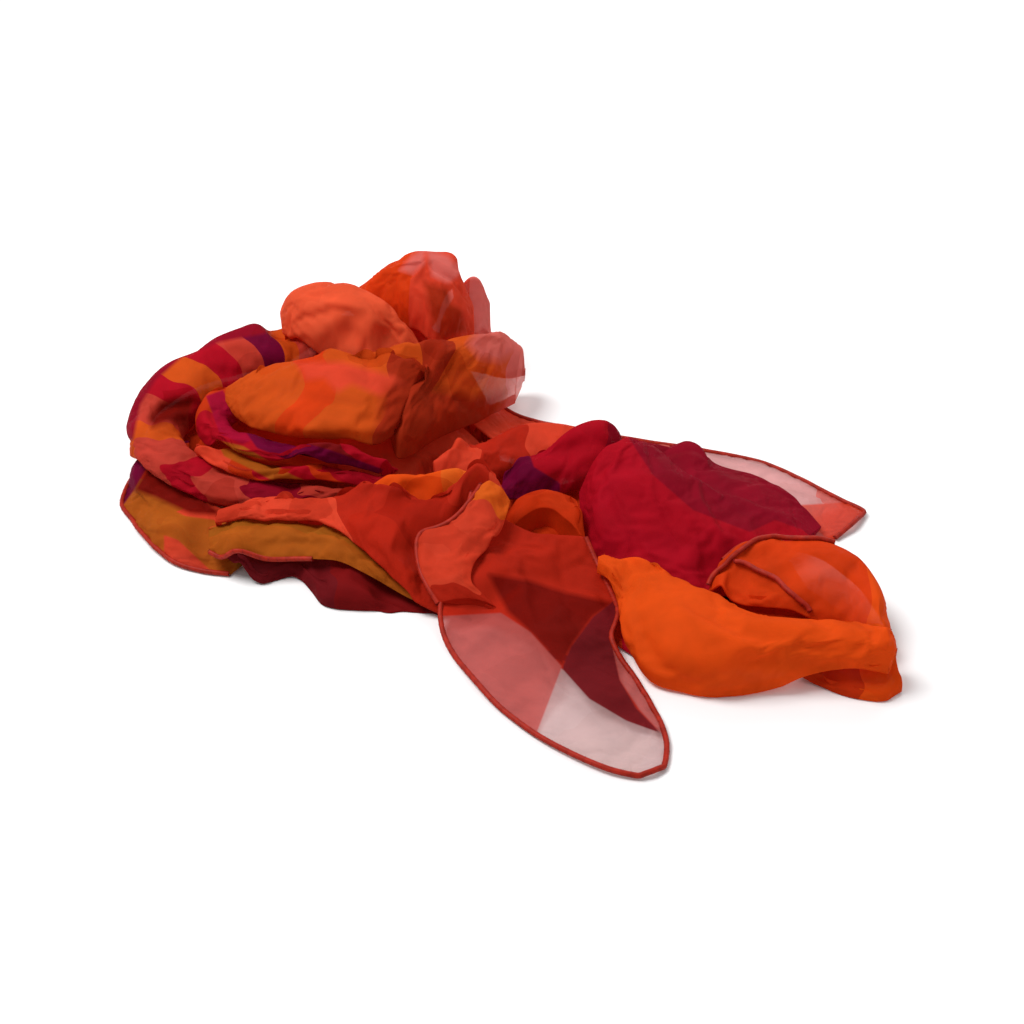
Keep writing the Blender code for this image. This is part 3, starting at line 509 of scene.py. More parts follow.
def floor_under(points, heap):
    """The lowest that cloth may lie at some points, on the heap or on the table."""
    cells = map_cells(points)
    below = spread(heap)[cells[..., 0], cells[..., 1]]
    return np.where(below > 0, below + GAP + WALL / 2, LOWEST)


def rest_edges(grid, heap):
    """Ends each section's two sides on what is under them, and keeps its crest where it is."""
    grid = grid.copy()
    crest = grid[:, :, 2].argmax(axis=1)
    for edge in (0, grid.shape[1] - 1):
        floor = floor_under(grid[:, edge], heap)
        for _ in range(2):
            beside = np.pad(floor, 1, mode="edge")
            floor = np.maximum(floor, (beside[:-2] + beside[2:]) / 2)
        for i, top in enumerate(crest):
            side_points = slice(0, top) if edge == 0 else slice(top + 1, None)
            crest_z, edge_z = grid[i, top, 2], grid[i, edge, 2]
            if edge_z < floor[i] < crest_z - WALL:
                drop = crest_z - grid[i, side_points, 2]
                grid[i, side_points, 2] = crest_z - drop * (crest_z - floor[i]) / (crest_z - edge_z)
    return grid


def lay_down(grid, heap):
    """Lifts a sheet clear of the heap and the table, by a soft amount that depends only on where it is."""
    samples = dense(grid)
    cells = map_cells(samples)
    need = np.zeros((MAP_SIZE, MAP_SIZE))
    np.maximum.at(need, (cells[:, 0], cells[:, 1]), floor_under(samples, heap) - samples[:, 2])
    lift = soft_cover(spread(need, LIFT_SPREAD), 4)
    cells = map_cells(grid)
    grid = grid.copy()
    grid[..., 2] += lift[cells[..., 0], cells[..., 1]]
    grid[..., 2] = np.maximum(grid[..., 2], LOWEST)
    return grid


def add_to_heap(grid, heap, rise):
    """Writes the top of a sheet into the map of heights."""
    samples = dense(grid)
    cells = map_cells(samples)
    np.maximum.at(heap, (cells[:, 0], cells[:, 1]), samples[:, 2] + rise)


# %% [markdown]
# ## The hidden layers
# Most of the scarf is hidden: the cloth that shows lies on a crumpled pile of more cloth. It matters all the same,
# because chiffon is sheer and the dark folds below show through. The pile is a few crumpled sheets, one over another,
# each cut to the outline of the pile and creased with its own folds.

# %% How high the pile of hidden layers is
# x, y, reach along, reach across, turn in degrees, height
MOUNDS = (
    (-152, 62, 74, 62, 20, 24),
    (-90, 60, 84, 54, 0, 32),
    (-84, 156, 58, 58, 0, 42),
    (-62, 112, 48, 62, 0, 36),
    (-110, -26, 64, 36, -10, 12),
    (-30, 10, 70, 48, 0, 16),
    (78, -14, 62, 34, -30, 24),
    (126, -46, 48, 26, -40, 10),
    (4, -76, 36, 50, 8, 7),
    (20, -34, 24, 22, 0, 18),
    (84, -114, 42, 34, -20, 12),
    (144, -108, 42, 38, -30, 16),
)
PILE_RIM = 5.4  # height of the pile's edge


def mound_height(x, y):
    """Height of the rounded pile over each point."""
    height = np.zeros(np.shape(x))
    for mx, my, along, across, turn, top in MOUNDS:
        mx, my = mx - HEAP_MIDDLE[0], my - HEAP_MIDDLE[1]
        c, s = math.cos(math.radians(turn)), math.sin(math.radians(turn))
        u = ((x - mx) * c + (y - my) * s) / along
        v = ((y - my) * c - (x - mx) * s) / across
        height = np.maximum(height, top * np.maximum(0.0, 1 - (u * u + v * v)) ** 0.6)
    return height


def pile_reach(angles):
    """How far the pile goes from the origin in each direction."""
    r = np.arange(2.0, REACH, 2.0)
    heights = mound_height(np.outer(np.cos(angles), r), np.outer(np.sin(angles), r))
    reaches = (r * (heights > PILE_RIM)).max(axis=1)
    return (np.roll(reaches, 1) + 2 * reaches + np.roll(reaches, -1)) / 4


def pile_sheet(ceiling, spokes, rings):
    """The top of the pile, as a round grid [ring][spoke], kept under the cloth that covers it."""
    angles = np.linspace(0, 2 * math.pi, spokes + 1)
    reaches = pile_reach(angles[:-1])
    reaches = np.append(reaches, reaches[0])
    share = np.linspace(0, 1, rings + 1)[:, None]
    x, y = share * reaches * np.cos(angles), share * reaches * np.sin(angles)
    low = -spread(-ceiling, 2) - WALL - GAP
    cells = map_cells(np.stack((x, y), axis=-1))
    z = np.maximum(np.minimum(mound_height(x, y), low[cells[..., 0], cells[..., 1]]), PILE_RIM)
    return np.stack((x, y, z), axis=-1)


# %% Build the heap
def build_heap():
    """Every stretch in its place, as a coarse grid, and the top of the pile below them."""
    sheets = {}
    for name, rows, along, across, near_turn, near_flare, far_flare, _ in STRETCHES:
        sheets[name] = plain_sheet(name, rows, along, across, near_turn, (near_flare, far_flare))
    ceiling = np.full((MAP_SIZE, MAP_SIZE), 1000.0)
    for name in reversed(list(sheets)):
        sheets[name] = press_down(sheets[name], ceiling)
        lower_ceiling(sheets[name], ceiling)
    pile = pile_sheet(ceiling, 48, 8)
    heap = np.zeros((MAP_SIZE, MAP_SIZE))
    add_to_heap(pile, heap, 0.0)
    for name in sheets:
        sheets[name] = lay_down(rest_edges(sheets[name], heap), heap)
        add_to_heap(sheets[name], heap, WALL / 2)
    return sheets, ceiling


SHEETS, CEILING = build_heap()
print("highest cloth, mm:", round(max(grid[..., 2].max() for grid in SHEETS.values()), 1))
for node, grid in SHEETS.items():
    low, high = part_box(node)
    miss = max(abs(grid[..., 2].max() - high.z / MM), abs(grid[..., 0].min() - low.x / MM))
    print(f"{node}: within {miss:.1f} mm of its wall's box")

# %% [markdown]
# ## The camera
# The photograph looks down at the heap by about 35 degrees, from about 0.8 m. The camera comes early, because some
# creases below are drawn where the photograph shows them, and the script must know where a point lands in the
# picture.

# %% The camera
CAMERA_TILT = math.radians(35)  # below the horizon
CAMERA_AWAY = 825.0  # from the point it looks at
LOOK_AT = np.array((14.5, -5.5, 0.0))
FOCAL_LENGTH = 50.0
SENSOR = 36.0
PICTURE = 1024  # pixels along a side
CAMERA_RIGHT = np.array((1.0, 0.0, 0.0))
CAMERA_FORWARD = np.array((0.0, math.cos(CAMERA_TILT), -math.sin(CAMERA_TILT)))
CAMERA_UP = np.cross(CAMERA_RIGHT, CAMERA_FORWARD)
CAMERA_PLACE = LOOK_AT - CAMERA_FORWARD * CAMERA_AWAY


def in_picture(points):
    """Where points, in millimetres, land in the picture, in pixels."""
    away = points - CAMERA_PLACE
    scale = FOCAL_LENGTH / SENSOR * PICTURE / (away @ CAMERA_FORWARD)
    return np.stack((PICTURE / 2 + scale * (away @ CAMERA_RIGHT), PICTURE / 2 - scale * (away @ CAMERA_UP)), axis=-1)


bpy.context.scene.view_settings.view_transform = "Standard"
camera = bpy.data.objects.new("camera", bpy.data.cameras.new("camera"))
camera.data.lens = FOCAL_LENGTH
camera.data.sensor_width = SENSOR
camera.location = CAMERA_PLACE * MM
camera.rotation_euler = (math.pi / 2 - CAMERA_TILT, 0, 0)
bpy.context.scene.collection.objects.link(camera)
bpy.context.scene.camera = camera
print("camera stands at", [round(float(x), 3) for x in camera.location])

# %% [markdown]
# ## A finer sheet
# The walls of the part have few points, about 7 mm apart. Silk needs one every 2 or 3 mm before it can crease. New
# points are put on smooth curves through the old ones, along and across, so the form stays the same.

# %% Finer grids
SETTLE_STEP = 2.7  # mm between points while the cloth settles


def curve_weights(count, cells):
    """Weights that put new points on smooth curves through the old ones, with some cells for each old one."""
    weights = np.zeros(((count - 1) * cells + 1, count + 2))
    for row in range(len(weights)):
        i = min(row // cells, count - 2)
        t = row / cells - i
        weights[row, i : i + 4] = (
            0.5 * (-t + 2 * t**2 - t**3),
            0.5 * (2 - 5 * t**2 + 3 * t**3),
            0.5 * (t + 4 * t**2 - 3 * t**3),
            0.5 * (t**3 - t**2),
        )
    weights[:, 1] += 2 * weights[:, 0]
    weights[:, 2] -= weights[:, 0]
    weights[:, -2] += 2 * weights[:, -1]
    weights[:, -3] -= weights[:, -1]
    return weights[:, 1:-1]


def refine(grid, along, across):
    """The same sheet with more points."""
    grid = np.einsum("ai,ijk->ajk", curve_weights(grid.shape[0], along), grid)
    return np.einsum("bj,ajk->abk", curve_weights(grid.shape[1], across), grid)


def cells_for(grid, step):
    """How many cells each old cell is cut into, along and across, for points about a step apart."""
    along = np.linalg.norm(np.diff(grid, axis=0), axis=2).mean()
    across = np.linalg.norm(np.diff(grid, axis=1), axis=2).mean()
    return max(1, round(along / step)), max(1, round(across / step))


# %% [markdown]
# ## Creases
# Thin silk creases where it is pinched: a crease starts at a fold or under an edge, runs into the open cloth and
# fades out. No two are alike. Two kinds are made here. Gathers start along a side, with a seeded random length, depth
# and spacing, and they also crease the sides that the camera doesn't see. The others are drawn one by one where the
# photograph shows them. Both move points along the sheet's normals.

# %% Gathers along the sides
# side, from and to along that side (0 to 1), how many, how far in (0 to 1), half width in mm, depth in mm
GATHERS = {
    "back_flap": (("near", 0.3, 1.0, 7, 0.5, 5, 1.2), ("far", 0.1, 0.95, 9, 0.3, 4, 1.0)),
    "gold_skirt": (("far", 0.1, 0.9, 8, 0.8, 4, 2.0), ("near", 0.1, 0.9, 5, 0.5, 6, 1.6)),
    "plum_fold": (("far", 0.1, 0.9, 8, 0.8, 4, 1.6),),
    "gold_fold": (("far", 0.1, 0.9, 7, 0.8, 4, 1.8),),
    "ring_roll": (("far", 0.05, 0.95, 13, 0.55, 4, 2.0), ("near", 0.05, 0.95, 12, 0.5, 5, 1.5)),
    "stripe_fold": (("near", 0.05, 0.95, 7, 0.7, 3.5, 1.6),),
    "swirl_fold": (("far", 0.05, 0.95, 9, 0.8, 3.5, 1.8),),
    "back_band": (("near", 0.05, 0.95, 8, 0.8, 4, 1.8),),
    "crimson_back": (("near", 0.1, 0.9, 6, 0.6, 5, 2.0), ("far", 0.05, 0.95, 7, 0.9, 6, 4.0)),
    "crimson_front": (("near", 0.1, 0.95, 9, 0.5, 5, 2.0), ("far", 0.05, 0.95, 9, 0.5, 5, 2.0)),
    "loop": (("near", 0.1, 0.9, 4, 0.6, 4, 1.4), ("far", 0.1, 0.9, 4, 0.6, 4, 1.4)),
    "back_tip": (("near", 0.1, 0.9, 5, 0.7, 3, 1.6), ("far", 0.1, 0.9, 4, 0.9, 4, 3.0)),
    "top_puff": (("near", 0.05, 0.95, 9, 0.6, 4.5, 2.4), ("far", 0.05, 0.95, 8, 0.9, 6, 4.4)),
    "back_dome": (("near", 0.05, 0.95, 9, 0.65, 4, 2.2), ("far", 0.05, 0.95, 9, 0.9, 6, 5.0)),
    "centre_puff": (("near", 0.05, 0.95, 9, 0.45, 4.5, 1.8), ("far", 0.05, 0.95, 12, 0.5, 5, 2.0)),
    "centre_lobe": (("near", 0.2, 0.95, 8, 0.5, 4, 1.6), ("far", 0.05, 0.95, 8, 0.9, 6, 4.0)),
    "funnel_back": (("near", 0.05, 0.95, 6, 0.7, 4, 1.6),),
    "front_fall": (("far", 0.05, 0.95, 10, 0.4, 4.5, 2.0), ("near", 0.05, 0.7, 6, 0.5, 4.5, 1.8)),
    "front_corner": (("far", 0.25, 0.98, 15, 0.22, 3, 1.3), ("near", 0.05, 0.9, 6, 0.4, 6, 1.4)),
    "fold_over": (("far", 0.05, 0.95, 5, 0.8, 5, 1.6),),
    "right_hill": (("near", 0.05, 0.95, 7, 0.7, 4.5, 2.0), ("far", 0.2, 0.95, 8, 0.5, 4.5, 2.0)),
    "right_loop": (("near", 0.1, 0.9, 4, 0.6, 4, 1.0),),
    "right_flap": (("far", 0.05, 0.95, 9, 0.5, 5, 2.0), ("near", 0.05, 0.95, 8, 0.35, 6, 1.6)),
}


def on_grid(grid, u, v):
    """The point of a grid at a place along and across it, both from 0 to 1."""
    i, j = np.clip(u, 0, 1) * (grid.shape[0] - 1), np.clip(v, 0, 1) * (grid.shape[1] - 1)
    a, b = min(int(i), grid.shape[0] - 2), min(int(j), grid.shape[1] - 2)
    s, t = i - a, j - b
    first = grid[a, b] * (1 - t) + grid[a, b + 1] * t
    second = grid[a + 1, b] * (1 - t) + grid[a + 1, b + 1] * t
    return first * (1 - s) + second * s


def gather_push(grid, rows, rng):
    """How far the gathers of a stretch push each point out."""
    push = np.zeros(grid.shape[:2])
    for side, start, end, count, far_in, half_width, depth in rows:
        for k in range(count):
            u = start + (end - start) * (k + 0.5 + rng.uniform(-0.35, 0.35)) / count
            length = far_in * rng.uniform(0.5, 1.15)
            drift = rng.uniform(-0.14, 0.14)
            bend = rng.uniform(-0.05, 0.05)
            wide = half_width * rng.uniform(0.65, 1.4)
            high = depth * rng.uniform(0.45, 1.25) * (1 if k % 2 else -1)
            path = []
            for step in np.linspace(0, 1, 6):
                v = 0.03 + length * step / 2
                v = v if side == "near" else 1 - v
                path.append(on_grid(grid, u + drift * step + bend * math.sin(3 * step), v))
            gap, place = near_path(grid, path)
            push += high * np.exp(-((gap / (wide * (0.7 + 0.9 * place))) ** 1.5)) * (1 - place) ** 0.7
    return push


# %% Creases drawn where the photograph shows them
# half width in pixels, height in mm (below zero for a trough), then the path in pixels of the picture
DRAWN = {
    "ring_roll": (
        (8, -6.0, (148, 424), (158, 408), (176, 402), (196, 404)),
        (6, 1.8, (140, 400), (165, 372), (205, 352), (255, 342)),
        (5, -1.6, (135, 440), (160, 452), (190, 480)),
    ),
    "top_puff": (
        (7, 3.0, (375, 285), (395, 305), (418, 335)),
        (5, -2.4, (362, 290), (378, 312), (398, 335)),
        (6, -2.5, (357, 372), (365, 350), (362, 335)),
        (6, -2.5, (398, 355), (393, 340), (385, 330)),
        (8, 1.8, (300, 300), (330, 290), (365, 290)),
        (6, -1.6, (300, 318), (335, 312), (360, 320)),
    ),
    "back_dome": (
        (5, 1.8, (425, 260), (440, 285), (448, 318)),
        (4, -1.6, (425, 262), (455, 280), (470, 300)),
        (4, 1.4, (425, 262), (412, 285), (408, 310)),
        (5, -1.6, (400, 275), (420, 300), (432, 330)),
    ),
    "centre_lobe": (
        (5, 2.2, (455, 345), (443, 357), (430, 372)),
        (6, -2.0, (480, 350), (460, 375), (445, 400)),
        (5, 1.5, (500, 345), (490, 375), (470, 405)),
    ),
    "centre_puff": (
        (7, 2.0, (240, 400), (300, 372), (350, 372), (400, 382)),
        (6, -1.8, (262, 408), (320, 400), (380, 405)),
        (6, 1.6, (280, 430), (330, 425), (385, 430), (420, 420)),
        (5, -1.5, (270, 445), (320, 450), (370, 448)),
    ),
    "right_flap": (
        (9, -2.4, (633, 590), (645, 640), (660, 668), (690, 685), (715, 683)),
        (10, 2.0, (655, 590), (700, 625), (760, 650), (820, 655)),
        (7, -1.8, (690, 610), (740, 632), (800, 640)),
        (5, 1.6, (805, 655), (860, 660), (885, 680)),
    ),
    "right_hill": (
        (5, 2.6, (765, 572), (800, 555), (830, 553), (850, 562)),
        (5, -2.2, (750, 575), (785, 590), (815, 612)),
        (4, 1.8, (735, 560), (745, 563), (775, 580), (815, 612)),
        (6, -1.8, (780, 540), (810, 545), (840, 552)),
    ),
    "crimson_front": (
        (8, 2.4, (625, 440), (610, 480), (590, 530)),
        (8, -2.0, (650, 450), (660, 500), (680, 545)),
        (9, 1.8, (690, 455), (700, 500), (720, 535)),
        (6, -1.6, (600, 470), (620, 510), (640, 555)),
    ),
    "front_fall": (
        (6, 2.2, (330, 510), (370, 530), (410, 575)),
        (6, -2.0, (360, 495), (405, 515), (425, 560)),
        (7, 1.6, (240, 515), (290, 520), (330, 530)),
    ),
    "front_corner": (
        (10, 1.8, (515, 560), (530, 620), (560, 690), (620, 740)),
        (9, -1.5, (560, 560), (575, 620), (600, 670)),
    ),
}


def drawn_push(grid, rows):
    """How far the drawn creases push each point that faces the camera."""
    push = np.zeros(grid.shape[:2])
    toward = CAMERA_PLACE - grid
    toward /= np.linalg.norm(toward, axis=2, keepdims=True)
    facing = np.clip((normals(grid) * toward).sum(axis=2), 0, 1) ** 0.5
    seen = in_picture(grid)
    for half_width, height, *path in rows:
        gap, place = near_path(seen, [np.array(p, dtype=float) for p in path])
        push += height * facing * np.exp(-((gap / half_width) ** 1.6)) * np.sin(np.pi * (0.12 + 0.76 * place))
    return push


# %% Crease every stretch
RIPPLE = 1.2  # mm, a slow unevenness all over
RIPPLE_SIZE = 24.0  # mm
LOOSE_EDGE = 0.8  # how freely an edge that lies on the table takes part in the creases
TABLE_EDGE = 9.0  # mm, an edge below this height lies on the table
LAST_ROW = 0.3  # how freely the last row of a stretch does
SINKING = {"centre_puff": 4.5, "fold_over": 3.0}  # mm, how deep the end of a stretch sinks into the one below it
SINKING_PART = 8  # it sinks over the last eighth of its length


def free_to_move(grid):
    """0 along the borders of a sheet, where it rests on something, and 1 inside."""
    across = 1 - np.abs(np.linspace(-1, 1, grid.shape[1])) ** 6
    along = 1 - np.abs(np.linspace(-1, 1, grid.shape[0])) ** 12
    return np.outer(along, across)


def crease(name, grid, seed):
    """The stretch with its gathers, its drawn creases and a slow unevenness."""
    rng = np.random.default_rng(seed)
    push = gather_push(grid, GATHERS.get(name, ()), rng) + drawn_push(grid, DRAWN.get(name, ()))
    ripple = [[noise.noise(Vector(p / RIPPLE_SIZE) + Vector((seed, 0, 0))) for p in row] for row in grid]
    push += RIPPLE * np.array(ripple)
    free = np.maximum(free_to_move(grid), LOOSE_EDGE * (grid[..., 2] < TABLE_EDGE))
    free[-1] *= LAST_ROW
    push *= free
    sinking = np.clip(np.linspace(1 - SINKING_PART, 1, len(grid)), 0, 1) ** 1.5
    push -= SINKING.get(name, 0) * sinking[:, None]
    creased = grid + normals(grid) * push[..., None]
    creased[..., 2] = np.maximum(creased[..., 2], LOWEST)
    return creased


for seed, name in enumerate(SHEETS):
    fine = refine(SHEETS[name], *cells_for(SHEETS[name], SETTLE_STEP))
    SHEETS[name] = crease(name, fine, seed + 1)
print("points in all the creased stretches:", sum(g.shape[0] * g.shape[1] for g in SHEETS.values()))

# %% [markdown]
# ## Let the cloth settle
# The listed creases are too regular. Blender's cloth simulation adds what is missing: each stretch is made a few
# percent too large for its place and held softly to its form, so it buckles into small folds of its own, as real
# silk does. The borders stay pinned, nothing is random, and a cap keeps each point near where it began.

# %% Settle with a short cloth simulation
SETTLE_FRAMES = 14
SETTLE_GROWTH = 0.022  # how much too large the cloth is
SETTLE_CAP = 2.6  # mm, the furthest that a point may move
SETTLE_HOLD = 0.10  # how firmly the inside keeps its form
SETTLE_CLOTH = {  # Blender's cloth settings for thin silk
    "quality": 4,
    "mass": 0.02,
    "tension_stiffness": 12,
    "compression_stiffness": 12,
    "shear_stiffness": 6,
    "bending_stiffness": 0.12,
    "vertex_group_mass": "hold",
    "pin_stiffness": 0.6,
    "shrink_min": -SETTLE_GROWTH,
}


def grid_faces(rows, columns):
    """Quads over a grid of points."""
    first = np.arange(rows * columns).reshape(rows, columns)
    corners = (first[:-1, :-1], first[1:, :-1], first[1:, 1:], first[:-1, 1:])
    return np.stack([c.ravel() for c in corners], axis=1).tolist()


def upward(grid):
    """The grid, turned round along if its quads would face down."""
    out = np.cross(np.gradient(grid, axis=0), np.gradient(grid, axis=1))
    return grid if out[..., 2].mean() > 0 else grid[::-1]


def settle(name, grid):
    """The grid after a short cloth simulation, held at its borders."""
    mesh = bpy.data.meshes.new("settling")
    mesh.from_pydata((grid.reshape(-1, 3) * MM).tolist(), [], grid_faces(*grid.shape[:2]))
    item = bpy.data.objects.new("settling", mesh)
    bpy.context.scene.collection.objects.link(item)
    hold = item.vertex_groups.new(name="hold")
    weights = 1 - (1 - SETTLE_HOLD) * free_to_move(grid).ravel()
    for index, weight in enumerate(weights):
        hold.add([index], float(weight), "REPLACE")
    cloth = item.modifiers.new("cloth", "CLOTH")
    for setting, value in SETTLE_CLOTH.items():
        setattr(cloth.settings, setting, value)
    cloth.settings.effector_weights.gravity = 0
    cloth.collision_settings.use_collision = False
    cloth.point_cache.frame_start = 1
    cloth.point_cache.frame_end = SETTLE_FRAMES
    for frame_number in range(1, SETTLE_FRAMES + 1):
        bpy.context.scene.frame_set(frame_number)
    result = item.evaluated_get(bpy.context.evaluated_depsgraph_get()).to_mesh()
    moved = np.zeros(len(mesh.vertices) * 3, dtype=np.float32)
    result.vertices.foreach_get("co", moved)
    moved = moved.reshape(grid.shape).astype(float) / MM
    bpy.data.objects.remove(item, do_unlink=True)
    bpy.data.meshes.remove(mesh)
    bpy.context.scene.frame_set(1)
    shift = moved - grid
    length = np.linalg.norm(shift, axis=2, keepdims=True)
    shift *= np.minimum(1, SETTLE_CAP / np.maximum(length, 1e-9))
    print(f"{name}: moved by {length.mean():.2f} mm, at most {length.max():.2f} mm")
    return grid + shift


for name in SHEETS:
    SHEETS[name] = settle(name, SHEETS[name])

# %% [markdown]
# ## The colours
# The scarf is printed with large blocks and bands of warm colours. This one has a plain layout of its own, in colours
# like those of the real one. A band is a range along or across a stretch. Each point keeps its place in the band as a
# number, and the material turns that number into a colour, so the edge of a band stays crisp and follows the cloth.

# %% Colours of the silk, as they look in daylight (0 to 255)
COLOURS = {
    "orange": (236, 84, 22),
    "tangerine": (234, 104, 32),
    "deep_orange": (204, 56, 18),
    "coral": (226, 72, 46),
    "red": (190, 42, 24),
    "dark_red": (126, 18, 10),
    "pink": (224, 112, 102),
    "dusty": (200, 92, 86),
    "blush": (226, 168, 166),
    "salmon": (238, 94, 58),
    "clear": (214, 182, 180),
    "gold": (182, 92, 26),
    "amber": (214, 84, 26),
    "rust": (172, 48, 22),
    "vermilion": (222, 66, 20),
    "rose": (200, 66, 52),
    "wine": (150, 14, 38),
    "brick": (160, 36, 20),
    "olive": (170, 94, 26),
    "crimson": (184, 16, 36),
    "magenta": (170, 14, 52),
    "purple": (116, 8, 54),
    "plum": (118, 24, 30),
    "burgundy": (132, 22, 24),
}
HEM_COLOUR = "brick"

# along or across, slant, waviness, then where each colour starts (0 to 1)
PRINT = {
    "back_flap": (
        "along", 0.06, 0.02, ((0, "coral"), (0.30, "red"), (0.40, "pink"), (0.52, "blush"), (0.84, "pink")),
    ),
    "gold_skirt": (
        "along", 0.10, 0.02,
        ((0, "purple"), (0.10, "deep_orange"), (0.26, "gold"), (0.46, "coral"), (0.60, "gold"), (0.84, "olive")),
    ),
    "plum_fold": ("along", 0.05, 0.02, ((0, "plum"), (0.55, "burgundy"), (0.8, "plum"))),
    "gold_fold": ("across", 0.10, 0.03, ((0, "gold"), (0.42, "olive"), (0.62, "coral"))),
    "ring_roll": (
        "along", 0.05, 0.012,
        (
            (0, "purple"), (0.06, "crimson"), (0.12, "rose"), (0.17, "amber"), (0.21, "purple"), (0.26, "rose"),
            (0.31, "crimson"), (0.36, "amber"), (0.42, "crimson"), (0.47, "rose"), (0.54, "amber"), (0.59, "rose"),
            (0.67, "crimson"), (0.72, "rose"), (0.79, "wine"), (0.86, "rose"), (0.93, "crimson"),
        ),
    ),
    "stripe_fold": (
        "along", 0.35, 0.03,
        ((0, "coral"), (0.2, "deep_orange"), (0.3, "crimson"), (0.5, "deep_orange"), (0.58, "crimson")),
    ),
    "swirl_fold": ("along", 0.3, 0.03, ((0, "deep_orange"), (0.34, "crimson"), (0.7, "burgundy"), (0.84, "crimson"))),
    "back_band": ("along", 0.15, 0.03, ((0, "coral"), (0.3, "red"), (0.55, "coral"), (0.8, "orange"))),
    "crimson_back": ("along", 0.08, 0.02, ((0, "purple"), (0.18, "crimson"), (0.72, "wine"))),
    "crimson_front": ("across", 0.10, 0.02, ((0, "crimson"), (0.80, "wine"))),
    "loop": ("along", 0.0, 0.02, ((0, "deep_orange"), (0.7, "orange"))),
    "back_tip": ("along", 0.0, 0.02, ((0, "coral"), (0.5, "pink"))),
    "top_puff": ("across", 0.06, 0.03, ((0, "salmon"), (0.72, "orange"))),
    "back_dome": ("along", 0.10, 0.03, ((0, "vermilion"), (0.4, "coral"))),
    "centre_puff": ("along", 0.10, 0.05, ((0, "amber"), (0.40, "vermilion"), (0.52, "amber"), (0.8, "rust"))),
    "centre_lobe": ("along", 0.2, 0.04, ((0, "amber"), (0.34, "rust"), (0.5, "amber"), (0.84, "pink"))),
    "funnel_back": ("along", 0.06, 0.02, ((0, "orange"), (0.6, "tangerine"))),
    "front_fall": ("along", 0.10, 0.02, ((0, "coral"), (0.36, "red"), (0.92, "coral"))),
    "front_corner": ("along", 0.16, 0.02, ((0, "red"), (0.5, "burgundy"), (0.52, "red"))),
    "fold_over": ("along", 0.05, 0.02, ((0, "tangerine"), (0.22, "coral"), (0.86, "red"))),
    "right_hill": ("along", 0.1, 0.02, ((0, "vermilion"), (0.7, "orange"))),
    "right_loop": ("along", 0.0, 0.02, ((0, "deep_orange"), (0.5, "orange"))),
    "right_flap": ("across", 0.04, 0.02, ((0, "orange"), (0.85, "tangerine"))),
}
